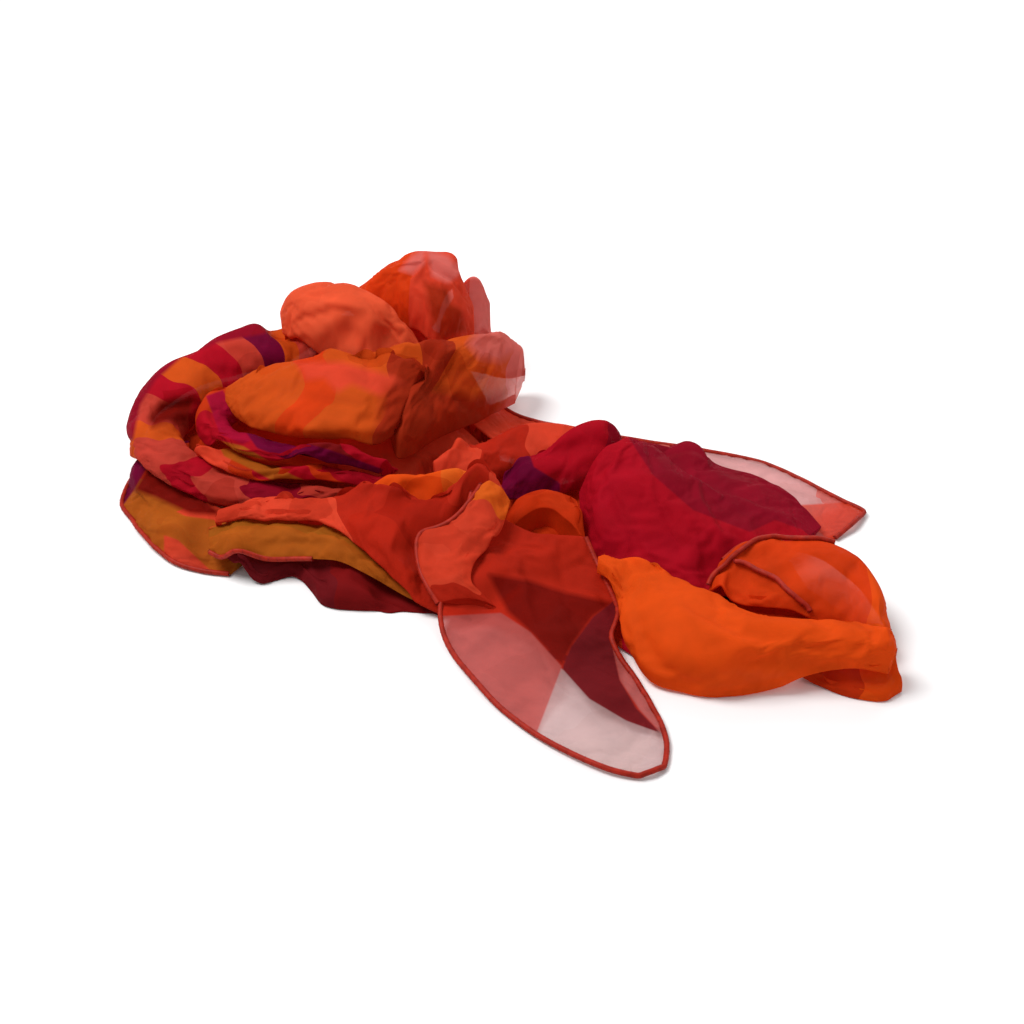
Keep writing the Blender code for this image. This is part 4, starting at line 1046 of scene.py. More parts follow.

# %% Where a second layer or a single layer changes the colour, and where shade is painted, as outlines in pixels of the picture
# colour, how much is covered, half width of the soft edge in pixels, then the corners of the outline
ZONES = {
    "ring_roll": (
        ("wine", 0.985, 2, (118, 440), (126, 400), (145, 366), (175, 340), (215, 322), (262, 318), (292, 324),
         (262, 334), (220, 342), (182, 357), (156, 380), (140, 405), (133, 440)),
        # painted shade: the dark hollow inside the ring, round the swirl, laid on as a soft dark red zone
        ("dark_red", 0.99, 4, (149, 418), (160, 403), (178, 398), (194, 397), (193, 410), (186, 424), (168, 422),
         (152, 428)),
    ),
    "swirl_fold": (
        ("magenta", 0.96, 1, (206, 396), (223, 390), (237, 422), (263, 435), (243, 444), (220, 434)),
        ("gold", 0.95, 1, (216, 440), (243, 446), (292, 475), (318, 486), (297, 492), (253, 468), (224, 454)),
        ("purple", 0.96, 1, (243, 428), (283, 437), (330, 450), (385, 470), (363, 482), (310, 468), (257, 448)),
    ),
    "stripe_fold": (
        ("coral", 0.94, 1, (150, 428), (190, 424), (196, 452), (230, 478), (200, 484), (168, 462)),
        ("gold", 0.94, 1, (216, 440), (243, 446), (292, 475), (318, 486), (297, 494), (253, 470), (224, 456)),
    ),
    "front_corner": (
        ("dark_red", 0.95, 3, (488, 574), (527, 580), (565, 592), (614, 603), (593, 617), (571, 647), (562, 667),
         (530, 632), (508, 612)),
        ("dusty", 0.66, 1, (430, 617), (501, 613), (530, 632), (562, 667), (538, 735), (480, 700), (440, 652)),
        ("clear", 0.42, 1, (562, 667), (601, 700), (632, 719), (680, 740), (680, 780), (620, 785), (536, 735)),
        ("plum", 0.93, 1, (628, 590), (593, 617), (571, 647), (562, 669), (589, 699), (626, 721), (662, 734),
         (636, 708), (620, 680), (613, 648), (625, 626)),
        ("dusty", 0.60, 1, (636, 640), (613, 648), (620, 680), (640, 710), (664, 736), (680, 730), (660, 690)),
    ),
    "back_flap": (
        ("coral", 0.70, 1, (800, 505), (880, 500), (880, 530), (833, 545), (815, 528), (790, 500)),
    ),
    "crimson_front": (
        ("wine", 0.96, 1, (623, 415), (630, 440), (653, 475), (693, 510), (750, 532), (775, 520), (860, 550),
         (860, 500), (760, 440), (700, 400)),
    ),
    "crimson_back": (
        ("purple", 0.96, 1, (480, 470), (528, 450), (534, 467), (560, 483), (560, 500), (490, 500)),
        ("wine", 0.96, 1, (590, 405), (625, 418), (660, 460), (760, 520), (780, 420), (640, 390)),
    ),
    "gold_skirt": (
        ("gold", 0.94, 1, (118, 498), (150, 498), (185, 516), (215, 520), (240, 575), (200, 575), (150, 560)),
        ("purple", 0.95, 1, (110, 510), (118, 470), (142, 448), (147, 468), (134, 490), (124, 504)),
        ("dark_red", 0.95, 3, (147, 468), (175, 470), (222, 515), (190, 514), (156, 498), (134, 490)),
        ("coral", 0.84, 1, (164, 535), (178, 540), (212, 572), (180, 574), (164, 556)),
    ),
    "back_dome": (
        ("pink", 0.88, 3, (400, 270), (412, 256), (425, 248), (424, 264), (412, 274)),
        ("pink", 0.92, 3, (427, 250), (448, 256), (462, 272), (450, 284), (432, 276)),
        ("rust", 0.98, 4, (424, 282), (446, 288), (462, 300), (466, 330), (440, 342), (432, 322)),
        ("coral", 0.92, 3, (448, 284), (464, 276), (474, 296), (466, 312), (452, 304)),
    ),
    "centre_lobe": (
        ("pink", 0.70, 5, (468, 344), (478, 330), (505, 324), (522, 334), (516, 352), (500, 362), (480, 358)),
        ("pink", 0.66, 4, (514, 348), (530, 344), (534, 380), (522, 412), (500, 424), (494, 414), (510, 394),
         (517, 370)),
        # painted shade: the dark trough where the end of the centre puff dives under the lobe, as a soft rust zone
        ("rust", 0.95, 7, (392, 400), (420, 384), (470, 396), (505, 392), (492, 425), (440, 450), (388, 470)),
    ),
    "centre_puff": (
        ("coral", 0.95, 4, (296, 362), (342, 362), (392, 376), (410, 386), (380, 396), (352, 384), (338, 392),
         (324, 378), (306, 380)),
        # painted shade: the dark trough where the end of the puff dives under the lobe, as a soft rust zone
        ("rust", 0.95, 7, (384, 386), (420, 378), (424, 440), (396, 470), (350, 466), (376, 440)),
    ),
}

# %% How much the layers below change the colour in patches
PATCHY = {
    "right_flap": 0.08, "right_hill": 0.15, "crimson_front": 0.3, "crimson_back": 0.3, "front_corner": 0.15,
    "back_flap": 0.2, "plum_fold": 0.3, "gold_fold": 0.2, "gold_skirt": 0.3, "fold_over": 0.4, "top_puff": 0.25,
}
USUAL_PATCHY = 0.7

# %% How much of what lies below is covered, from the start of each stretch to its end
COVER = {
    "back_flap": (0.96, 0.90, 0.60, 0.55, 0.60),
    "gold_skirt": (0.95, 0.94, 0.93, 0.92),
    "back_band": (0.93, 0.92, 0.88),
    "back_tip": (0.78, 0.72),
    "top_puff": (0.98, 0.98),
    "ring_roll": (0.985, 0.985),
    "back_dome": (0.98, 0.97, 0.96, 0.93),
    "centre_puff": (0.96, 0.95, 0.95),
    "centre_lobe": (0.95, 0.95, 0.93, 0.84, 0.76),
    "front_corner": (0.93, 0.92, 0.86, 0.7),
    "fold_over": (0.90, 0.86),
    "right_hill": (0.95, 0.92),
}
USUAL_COVER = (0.96, 0.96)


def linear(colour):
    """A colour from 0 to 255 as the linear colour that a shader needs."""
    parts = [c / 255 for c in COLOURS[colour]]
    return tuple(c / 12.92 if c <= 0.04045 else ((c + 0.055) / 1.055) ** 2.4 for c in parts) + (1.0,)


# %% [markdown]
# ## The silk
# Chiffon is a plain weave of very thin twisted threads with air between them. Light passes straight through the gaps,
# glows through the threads and shines softly along them. The material mixes the three: a transparent share for the
# gaps, a translucent share for the glow, and a soft surface with sheen. Two fine waves, along and across the cloth's
# own UV map in metres, are the threads.

# %% Material helpers
THREAD = 0.00045  # m from one thread to the next
WAVE_SCALE = 2 * math.pi / 20 / THREAD  # a Wave texture repeats each 2 pi / 20 of its scaled coordinate
SLUB_SCALE = 55.0  # uneven patches, per metre
WHITE = (1.0, 1.0, 1.0, 1.0)
LAYER_SCALE = 34.0  # the patches where more layers show through, per metre
LAYER_BEND = (0.045, 0.045, 0.045)  # m, how far the outlines of those patches wander
LAYER_BEND_SCALE = 22.0
LAYER_TINTS = ((0.0, WHITE), (0.62, (0.80, 0.60, 0.55, 1.0)), (0.80, (0.98, 0.84, 0.74, 1.0)))
GLOW = 0.34  # share of the light that comes through the threads
GAP_TINT = 0.5  # how much the print colours the light that comes through the gaps


class Shader:
    """A small helper that adds nodes to a material and links them."""

    def __init__(self, name):
        self.material = bpy.data.materials.new(name)
        self.material.use_nodes = True
        self.tree = self.material.node_tree
        self.tree.nodes.clear()

    def add(self, kind, **inputs):
        """A node of a kind, with its inputs set to values or linked to other nodes' outputs."""
        node = self.tree.nodes.new(kind)
        for name, value in inputs.items():
            self.set(node, name.replace("_", " "), value)
        return node

    def set(self, node, name, value):
        """Sets or links one input of a node."""
        socket = node.inputs[int(name)] if name.isdigit() else node.inputs[name]
        if isinstance(value, bpy.types.NodeSocket):
            self.tree.links.new(value, socket)
        else:
            socket.default_value = value

    def maths(self, operation, first, second):
        """A Math node's result."""
        node = self.add("ShaderNodeMath")
        node.operation = operation
        self.set(node, "0", first)
        self.set(node, "1", second)
        return node.outputs[0]

    def mixed_colour(self, blend, share, first, second):
        """A colour mixed from two."""
        node = self.add("ShaderNodeMix")
        node.data_type = "RGBA"
        node.blend_type = blend
        self.set(node, "0", share)
        self.set(node, "6", first)
        self.set(node, "7", second)
        return node.outputs[2]

    def mixed_number(self, share, first, second):
        """A number mixed from two."""
        node = self.add("ShaderNodeMix")
        self.set(node, "0", share)
        self.set(node, "2", first)
        self.set(node, "3", second)
        return node.outputs[0]

    def ramp(self, value, stops):
        """A colour ramp that changes at each stop at once, as print does."""
        node = self.add("ShaderNodeValToRGB", Fac=value)
        node.color_ramp.interpolation = "CONSTANT"
        elements = node.color_ramp.elements
        while len(elements) > 1:
            elements.remove(elements[0])
        elements[0].position, elements[0].color = stops[0]
        for place, colour in stops[1:]:
            elements.new(place).color = colour
        return node.outputs["Color"]

    def number(self, name):
        """A number that is stored for each point of the mesh."""
        node = self.add("ShaderNodeAttribute")
        node.attribute_name = name
        return node.outputs["Fac"]

    def unevenness(self, place, scale, detail, low, high):
        """A number that wanders slowly between two values all over the piece."""
        clouds = self.add("ShaderNodeTexNoise", Vector=place.outputs["Object"], Scale=scale, Detail=detail)
        spread_out = self.add(
            "ShaderNodeMapRange", Value=clouds.outputs["Fac"], From_Min=0.3, From_Max=0.7, To_Min=low, To_Max=high,
        )
        return spread_out.outputs["Result"]

    def mixed_shader(self, share, first, second):
        """A shader mixed from two."""
        node = self.add("ShaderNodeMixShader", Fac=share)
        self.set(node, "1", first.outputs[0])
        self.set(node, "2", second.outputs[0])
        return node

    def finish(self, surface):
        """Ends the material with its surface."""
        self.add("ShaderNodeOutputMaterial", Surface=surface.outputs[0])
        return self.material


def silk(name, stops, zones=(), patchy=USUAL_PATCHY):
    """Sheer printed silk, with its bands and zones read from the piece's own attributes."""
    shader = Shader(f"{name}_silk")
    printed = shader.ramp(shader.number("band"), [(place, linear(colour)) for place, colour in stops])
    share = shader.number("cover")
    for k, (zone_colour, zone_cover, soft, *_) in enumerate(zones):
        inside = shader.add("ShaderNodeMapRange", Value=shader.number(f"zone_{k}"), From_Min=-soft, From_Max=soft)
        printed = shader.mixed_colour("MIX", inside.outputs["Result"], printed, linear(zone_colour))
        share = shader.mixed_number(inside.outputs["Result"], share, zone_cover)
    place = shader.add("ShaderNodeTexCoord")
    bent = shader.add("ShaderNodeTexNoise", Vector=place.outputs["Object"], Scale=LAYER_BEND_SCALE, Detail=1.0)
    shift = shader.add("ShaderNodeVectorMath")
    shift.operation = "MULTIPLY_ADD"
    for socket, value in enumerate((bent.outputs["Color"], LAYER_BEND, place.outputs["Object"])):
        shader.set(shift, str(socket), value)
    layers = shader.add("ShaderNodeTexVoronoi", Vector=shift.outputs[0], Scale=LAYER_SCALE)
    chance = shader.add("ShaderNodeSeparateColor", Color=layers.outputs["Color"])
    printed = shader.mixed_colour("MULTIPLY", patchy, printed, shader.ramp(chance.outputs[0], LAYER_TINTS))
    colour = shader.mixed_colour("MULTIPLY", 1.0, printed, shader.unevenness(place, SLUB_SCALE, 3.0, 0.86, 1.06))
    warp = shader.add("ShaderNodeTexWave", Vector=place.outputs["UV"], Scale=WAVE_SCALE, Distortion=0.4)
    weft = shader.add("ShaderNodeTexWave", Vector=place.outputs["UV"], Scale=WAVE_SCALE, Distortion=0.4)
    weft.bands_direction = "Y"
    threads = shader.maths("MAXIMUM", warp.outputs["Fac"], weft.outputs["Fac"])
    bump = shader.add("ShaderNodeBump", Strength=0.25, Distance=0.0001, Height=threads)
    surface = shader.add(
        "ShaderNodeBsdfPrincipled", Base_Color=colour, Roughness=0.62, Sheen_Weight=0.05, Sheen_Roughness=0.4,
        Sheen_Tint=linear("coral"), Specular_IOR_Level=0.02, Normal=bump.outputs["Normal"],
    )
    glow = shader.add("ShaderNodeBsdfTranslucent", Color=colour, Normal=bump.outputs["Normal"])
    gaps = shader.add("ShaderNodeBsdfTransparent", Color=shader.mixed_colour("MIX", GAP_TINT, WHITE, printed))
    cloth = shader.mixed_shader(GLOW, surface, glow)
    return shader.finish(shader.mixed_shader(share, gaps, cloth))


# %% [markdown]
# ## Turn the sides under
# In the real heap a stretch doesn't stop at its sides: the cloth bends round and goes on below. Only hemmed sides are
# true edges. So each side without a hem is rolled under, with a small radius where the cloth lies flat and a larger
# one at a full puff. At its two ends a stretch turns down and falls to what it rests on, so that it has no open mouth.

# %% Roll the sides under
TUCK = 0.8  # mm, radius of the roll where the cloth turns under
TUCKS = {  # mm, the radius where the cloth is fuller
    "top_puff": 2.5, "back_dome": 2.5, "centre_puff": 1.6, "ring_roll": 2.0, "front_fall": 1.2, "back_band": 1.2,
}
TUCK_TURNS = np.radians((30, 60, 90, 120, 150, 180))
TUCK_DEPTH = 5.0  # mm, how far the cloth goes back below itself
END_TURNS = TUCK_TURNS[:3]  # at its two ends a stretch only turns down, and then falls to what it rests on
END_FALLS = (0.35, 0.7, 1.0)  # shares of the fall at which it has points
END_PULL = 0.16  # and it is drawn in by this share towards the middle of that end


def tuck_under(grid, hemmed, radius):
    """The sheet with each side that has no hem rolled under."""
    for side in ("near", "far", "start", "end"):
        if side in hemmed:
            continue
        is_long, is_last = side in ("near", "far"), side in ("far", "end")
        turned = grid.transpose(1, 0, 2) if is_long else grid
        turned = turned[::-1] if is_last else turned
        out, up = turned[0] - turned[1], normals(turned)[0]
        for way in (out, up):
            smooth_line(way, 4)
            way /= np.maximum(np.linalg.norm(way, axis=1, keepdims=True), 1e-9)
        turns = TUCK_TURNS if is_long else END_TURNS
        roll = [turned[0] + radius * (out * math.sin(a) - up * (1 - math.cos(a))) for a in turns]
        if is_long:
            roll.append(roll[-1] - out * TUCK_DEPTH)
        else:
            edge, foot = roll[-1], turned[0].mean(axis=0)
            foot[2] = turned[0][:, 2].min()
            for fall in END_FALLS:
                lower = edge + (foot - edge) * END_PULL * fall
                lower[:, 2] = edge[:, 2] + (foot[2] - edge[:, 2]) * fall
                roll.append(lower)
        turned = np.vstack((np.array(roll[::-1]), turned))
        turned = turned[::-1] if is_last else turned
        grid = turned.transpose(1, 0, 2) if is_long else turned
    grid = grid.copy()
    grid[..., 2] = np.maximum(grid[..., 2], TABLE_AIR)
    return grid


print("stretches with another radius:", len(TUCKS))

# %% [markdown]
# ## Make the pieces
# Now each settled grid becomes a mesh with a UV map in metres of cloth and its numbers for the print. Silk has almost
# no thickness, so a piece is a single sheet. Points are doubled once more along smooth curves first.

# %% Where each point lies on the flat cloth and in the print
def cloth_uv(grid):
    """Each point's place on the flat cloth, in metres."""
    along = np.linalg.norm(np.diff(grid, axis=0), axis=2).mean(axis=1)
    across = np.linalg.norm(np.diff(grid, axis=1), axis=2).mean(axis=0)
    u = np.concatenate(([0.0], np.cumsum(along))) * MM
    v = np.concatenate(([0.0], np.cumsum(across))) * MM
    return np.stack(np.meshgrid(u, v, indexing="ij"), axis=-1)


def band_places(grid, direction, slant, waviness, seed):
    """Each point's place in the print, from 0 to 1."""
    u, v = np.meshgrid(np.linspace(0, 1, grid.shape[0]), np.linspace(0, 1, grid.shape[1]), indexing="ij")
    main, other = (u, v) if direction == "along" else (v, u)
    wave = np.sin(other * 7 + seed) + 0.5 * np.sin(other * 17 + 2 * seed)
    return np.clip(main + slant * (other - 0.5) + waviness * wave, 0, 1)


ZONE_REACH = 8.0  # pixels; the distances kept in a zone's numbers
ZONE_SIDE = np.array((0.0, -0.8, 0.6))  # a zone lies on the cloth that faces front and up
ZONE_TURN = 4 * ZONE_REACH  # and it fades out where the cloth turns away from there


def depth_inside(points, outline):
    """How far each point is inside an outline, in pixels, and below zero outside it."""
    gap, _ = near_path(points, list(outline) + [outline[0]])
    inside = np.zeros(points.shape[:2], dtype=bool)
    for a, b in zip(outline, np.roll(outline, -1, axis=0)):
        crosses = (a[1] > points[..., 1]) != (b[1] > points[..., 1])
        rise = b[1] - a[1] if abs(b[1] - a[1]) > 1e-9 else 1e-9
        inside ^= crosses & (points[..., 0] < a[0] + (b[0] - a[0]) * (points[..., 1] - a[1]) / rise)
    return np.where(inside, gap, -gap)


# %% From grids to pieces
FINISH_CELLS = 2  # cells for each one that the cloth settled with


def make_mesh(name, points, faces, material):
    """A smooth mesh object at the origin; the points are in millimetres."""
    mesh = bpy.data.meshes.new(name)
    mesh.from_pydata((np.asarray(points).reshape(-1, 3) * MM).tolist(), [], faces)
    mesh.shade_smooth()
    mesh.materials.append(material)
    item = bpy.data.objects.new(name, mesh)
    bpy.context.scene.collection.objects.link(item)
    return item


def add_number(mesh, name, values):
    """Stores one number for each point of a mesh."""
    attribute = mesh.attributes.new(name, "FLOAT", "POINT")
    attribute.data.foreach_set("value", np.ascontiguousarray(values, dtype=np.float32).ravel())


def add_uv(mesh, places):
    """Stores each point's place on the flat cloth as the mesh's UV map."""
    layer = mesh.uv_layers.new(name="cloth")
    index = np.zeros(len(mesh.loops), dtype=np.int32)
    mesh.loops.foreach_get("vertex_index", index)
    layer.data.foreach_set("uv", places.reshape(-1, 2)[index].astype(np.float32).ravel())


def make_cloth(name, seed, hemmed):
    """A stretch as a sheet of printed silk, and the size of its flat cut in metres."""
    direction, slant, waviness, stops = PRINT[name]
    cover, zones = COVER.get(name, USUAL_COVER), ZONES.get(name, ())
    fine = tuck_under(refine(SHEETS[name], FINISH_CELLS, FINISH_CELLS), hemmed, TUCKS.get(name, TUCK))
    bands = band_places(fine, direction, slant, waviness, seed)
    share = np.interp(np.linspace(0, 1, fine.shape[0]), np.linspace(0, 1, len(cover)), cover)
    covers = np.repeat(share[:, None], fine.shape[1], axis=1)
    uv = cloth_uv(fine)
    if upward(fine) is not fine:
        fine, bands, covers, uv = fine[::-1], bands[::-1], covers[::-1], uv[::-1]
    material = silk(f"{name}_cloth", stops, zones, PATCHY.get(name, USUAL_PATCHY))
    item = make_mesh(f"{name}_cloth", fine, grid_faces(*fine.shape[:2]), material)
    add_number(item.data, "band", bands)
    add_number(item.data, "cover", covers)
    for k, (_, _, _, *outline) in enumerate(zones):
        inside = depth_inside(in_picture(fine), np.array(outline, dtype=float))
        inside = np.minimum(inside, ZONE_TURN * (normals(fine) @ ZONE_SIDE))
        add_number(item.data, f"zone_{k}", np.clip(inside, -ZONE_REACH, ZONE_REACH))
    add_uv(item.data, uv)
    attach(item, "root")
    return item, tuple(float(x) for x in uv.reshape(-1, 2).max(axis=0))


for seed, (name, *_, hemmed) in enumerate(STRETCHES):
    cloth, flat = make_cloth(name, seed, hemmed)
    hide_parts(name)
    print(f"{cloth.name}: {len(cloth.data.vertices)} points, cut {flat[0]:.3f} x {flat[1]:.3f} m")

# %% [markdown]
# ## The crumpled layers inside
# The pile below is made of three sheets. Each is the same round outline with its own folds, and each lies a little
# lower than the one above it. They carry the darker colours that show through the sheer cloth on top.

# %% Hidden sheets
# name, share of the height, share of the reach, fold height in mm, seed, axis of the bands, bands
HIDDEN = (
    (
        "hidden_top", 0.94, 0.99, 3.0, 3, 0,
        ((0, "deep_orange"), (0.3, "coral"), (0.5, "deep_orange"), (0.66, "crimson"), (0.75, "deep_orange")),
    ),
    ("hidden_middle", 0.6, 0.96, 2.4, 11, 1, ((0, "crimson"), (0.4, "orange"), (0.7, "plum"))),
    ("hidden_bottom", 0.2, 0.93, 1.0, 23, 1, ((0, "plum"), (0.5, "deep_orange"))),
)
HIDDEN_SPOKES = 150
HIDDEN_RINGS = 56
HIDDEN_FOLD = 17.0  # mm between the folds
HIDDEN_DROP = 3.0  # mm, how far the sheets lie below the top of the pile
HIDDEN_WIDTH = 440.0  # mm, the width that the bands are spread over
HIDDEN_COVER = 0.95


def hidden_sheet(height_share, reach_share, fold, seed):
    """The points of a crumpled sheet inside the pile, ring after ring from its centre."""
    grid = pile_sheet(CEILING, HIDDEN_SPOKES, HIDDEN_RINGS)
    grid[..., :2] *= reach_share
    for ring in grid:
        for point in ring:
            place = Vector(point / HIDDEN_FOLD) + Vector((seed * 7.3, seed * 3.1, 0))
            ridge = 1 - abs(2 * noise.noise(place)) - 0.5 * abs(2 * noise.noise(place * 2.3))
            point[2] = LOWEST + max(0.0, point[2] * height_share - HIDDEN_DROP + fold * (ridge - 0.9))
    return np.vstack((grid[0, :-1].mean(axis=0), grid[1:, :-1].reshape(-1, 3)))


def round_faces(rings, spokes):
    """Faces over a round grid that has one point at its centre and no seam."""
    turns = [(t, (t + 1) % spokes) for t in range(spokes)]
    faces = [(0, 1 + t, 1 + after) for t, after in turns]
    for inner in range(1, 1 + (rings - 1) * spokes, spokes):
        outer = inner + spokes
        faces += [(inner + t, outer + t, outer + after, inner + after) for t, after in turns]
    return faces


for name, height_share, reach_share, fold, seed, axis, stops in HIDDEN:
    points = hidden_sheet(height_share, reach_share, fold, seed)
    item = make_mesh(name, points, round_faces(HIDDEN_RINGS, HIDDEN_SPOKES), silk(name, stops))
    add_number(item.data, "band", np.clip(points[:, axis] / HIDDEN_WIDTH + 0.5, 0, 1))
    add_number(item.data, "cover", np.full(len(points), HIDDEN_COVER))
    add_uv(item.data, points[:, :2] * MM)
    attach(item, "root")
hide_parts("core")

# %% [markdown]
# ## The hand-rolled hem
# The free edge of the scarf is rolled over and sewn with tiny stitches that pinch the roll every few millimetres. A
# hem follows a path, so Geometry Nodes make it: one tree sweeps a round profile along the edge and narrows it at each
# stitch, and a second tree sets the stitches. Both take their sizes as named inputs.

# %% Where the hems run
STITCH_STEP = 4.6  # mm from one stitch to the next
THREAD_RADIUS = 0.19  # mm
HEM_POINTS = 1.2  # mm from one point of the swept hem to the next
ROUTE_STEP = 3.0  # pixels between the points of a hem that is drawn on a sheet
DRAWN_HEMS = {  # hems that cross a stretch, as paths in pixels of the picture
    "right_hill": (
        ((703, 580), (722, 567), (740, 552), (757, 538), (775, 528), (800, 528), (835, 538)),
        ((735, 562), (745, 564), (775, 580), (795, 596), (815, 612)),
    ),
}
HEM_SHARES = {"gold_fold": 0.5}  # the share of that edge, from its start, that gets a hem; the rest has no hem


def hem_route(grid, sides, share):
    """The line along the hemmed sides of a sheet, in one run round its corners."""
    lines = {"near": grid[: int(share * len(grid)), 0], "end": grid[-1], "far": grid[::-1, -1]}
    line = np.vstack([lines[side] for side in ("near", "end", "far") if side in sides])
    keep = np.concatenate(([True], np.linalg.norm(np.diff(line, axis=0), axis=1) > 0.05))
    line = line[keep]
    smooth_line(line, 2)
    line[:, 2] = np.maximum(line[:, 2], TABLE_AIR + HEM / 2)
    return line


# %% A helper for Geometry Nodes trees
class Tree:
    """Builds a Geometry Nodes tree with named number inputs and one material input."""

    def __init__(self, name, **sizes):
        self.group = bpy.data.node_groups.new(name, "GeometryNodeTree")
        face = self.group.interface
        face.new_socket("Geometry", in_out="INPUT", socket_type="NodeSocketGeometry")
        face.new_socket("Geometry", in_out="OUTPUT", socket_type="NodeSocketGeometry")
        self.sockets = {}
        for size, value in sizes.items():
            socket = face.new_socket(size.replace("_", " "), in_out="INPUT", socket_type="NodeSocketFloat")
            socket.default_value = value
            self.sockets[size] = socket.identifier
        self.sockets["material"] = face.new_socket(
            "Material", in_out="INPUT", socket_type="NodeSocketMaterial"
        ).identifier
        self.start = self.group.nodes.new("NodeGroupInput")
        self.end = self.group.nodes.new("NodeGroupOutput")

    def size(self, name):
        """The output of the group input that has this name."""
        return self.start.outputs[name.replace("_", " ")]

    def add(self, kind, **inputs):
        """A node with its inputs set or linked; a number in the name picks a socket by its place."""
        node = self.group.nodes.new(kind)
        for name, value in inputs.items():
            name = name.replace("_", " ").strip()
            socket = node.inputs[int(name)] if name.isdigit() else node.inputs[name]
            if isinstance(value, bpy.types.NodeSocket):
                self.group.links.new(value, socket)
            else:
                socket.default_value = value
        return node

    def maths(self, operation, first, second=0.0):
        """A Math node's result."""
        node = self.group.nodes.new("ShaderNodeMath")
        node.operation = operation
        for socket, value in zip(node.inputs, (first, second)):
            if isinstance(value, bpy.types.NodeSocket):
                self.group.links.new(value, socket)
            else:
                socket.default_value = value
        return node.outputs[0]

    def close(self, geometry):
        """Ends the tree with real geometry and its material."""
        real = self.add("GeometryNodeRealizeInstances", Geometry=geometry)
        painted = self.add(
            "GeometryNodeSetMaterial", Geometry=real.outputs[0], Material=self.start.outputs["Material"]
        )
        self.group.links.new(painted.outputs[0], self.end.inputs[0])

    def grow(self, name, route, material, **sizes):
        """Runs the tree on a line of points and keeps the result as a plain mesh object."""
        line = bpy.data.meshes.new(name)
        line.from_pydata((route * MM).tolist(), [(k, k + 1) for k in range(len(route) - 1)], [])
        holder = bpy.data.objects.new(f"{name}_route", line)
        bpy.context.scene.collection.objects.link(holder)
        modifier = holder.modifiers.new("grow", "NODES")
        modifier.node_group = self.group
        modifier[self.sockets["material"]] = material
        for size, value in sizes.items():
            modifier[self.sockets[size]] = value
        graph = bpy.context.evaluated_depsgraph_get()
        mesh = bpy.data.meshes.new_from_object(holder.evaluated_get(graph), depsgraph=graph)
        mesh.name = name
        bpy.data.objects.remove(holder, do_unlink=True)
        item = bpy.data.objects.new(name, mesh)
        bpy.context.scene.collection.objects.link(item)
        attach(item, "root")
        return item


# %% The tree that sweeps the hem
def hem_tree():
    """Sweeps a round profile along the route, a little narrower at each stitch."""
    tree = Tree("rolled_hem", hem_radius=HEM / 2 * MM, stitch_step=STITCH_STEP * MM, pinch=0.16)
    curve = tree.add("GeometryNodeMeshToCurve", Mesh=tree.start.outputs["Geometry"])
    fine = tree.add("GeometryNodeResampleCurve", Curve=curve.outputs[0])
    fine.mode = "LENGTH"
    fine.inputs["Length"].default_value = HEM_POINTS * MM
    along = tree.add("GeometryNodeSplineParameter")
    turns = tree.maths("DIVIDE", along.outputs["Length"], tree.size("stitch_step"))
    wave = tree.maths("COSINE", tree.maths("MULTIPLY", turns, 2 * math.pi))
    deep = tree.maths("POWER", tree.maths("MULTIPLY_ADD", wave, 0.5), 3.0)
    place = tree.add("GeometryNodeInputPosition")
    uneven = tree.add("ShaderNodeTexNoise", Vector=place.outputs[0], Scale=70.0)
    width = tree.maths("SUBTRACT", 1.0, tree.maths("MULTIPLY", deep, tree.size("pinch")))
    width = tree.maths("MULTIPLY", width, tree.maths("ADD", tree.maths("MULTIPLY", uneven.outputs["Fac"], 0.5), 0.75))
    round_it = tree.add("GeometryNodeSetCurveRadius", Curve=fine.outputs[0], Radius=width)
    profile = tree.add("GeometryNodeCurvePrimitiveCircle", Resolution=9, Radius=tree.size("hem_radius"))
    tube = tree.add("GeometryNodeCurveToMesh", Curve=round_it.outputs[0], Profile_Curve=profile.outputs[0])
    tube.inputs["Fill Caps"].default_value = True
    smooth = tree.add("GeometryNodeSetShadeSmooth", Geometry=tube.outputs[0])
    tree.close(smooth.outputs[0])
    return tree


def stitch_tree():
    """Sets a slanting loop of thread round the hem at each stitch."""
    tree = Tree("hem_stitches", hem_radius=HEM / 2 * MM, stitch_step=STITCH_STEP * MM, thread=THREAD_RADIUS * MM)
    curve = tree.add("GeometryNodeMeshToCurve", Mesh=tree.start.outputs["Geometry"])
    points = tree.add("GeometryNodeCurveToPoints", Curve=curve.outputs[0])
    points.mode = "LENGTH"
    tree.group.links.new(tree.size("stitch_step"), points.inputs["Length"])
    loop = tree.add("GeometryNodeCurvePrimitiveCircle", Resolution=10)
    tree.group.links.new(tree.maths("MULTIPLY", tree.size("hem_radius"), 0.97), loop.inputs["Radius"])
    profile = tree.add("GeometryNodeCurvePrimitiveCircle", Resolution=4, Radius=tree.size("thread"))
    ring = tree.add("GeometryNodeCurveToMesh", Curve=loop.outputs[0], Profile_Curve=profile.outputs[0])
    slanted = tree.add("GeometryNodeTransform", Geometry=ring.outputs[0])
    slanted.inputs["Rotation"].default_value = (math.radians(28), 0, 0)
    sewn = tree.add(
        "GeometryNodeInstanceOnPoints", Points=points.outputs["Points"], Instance=slanted.outputs[0],
        Rotation=points.outputs["Rotation"],
    )
    tree.close(sewn.outputs[0])
    return tree


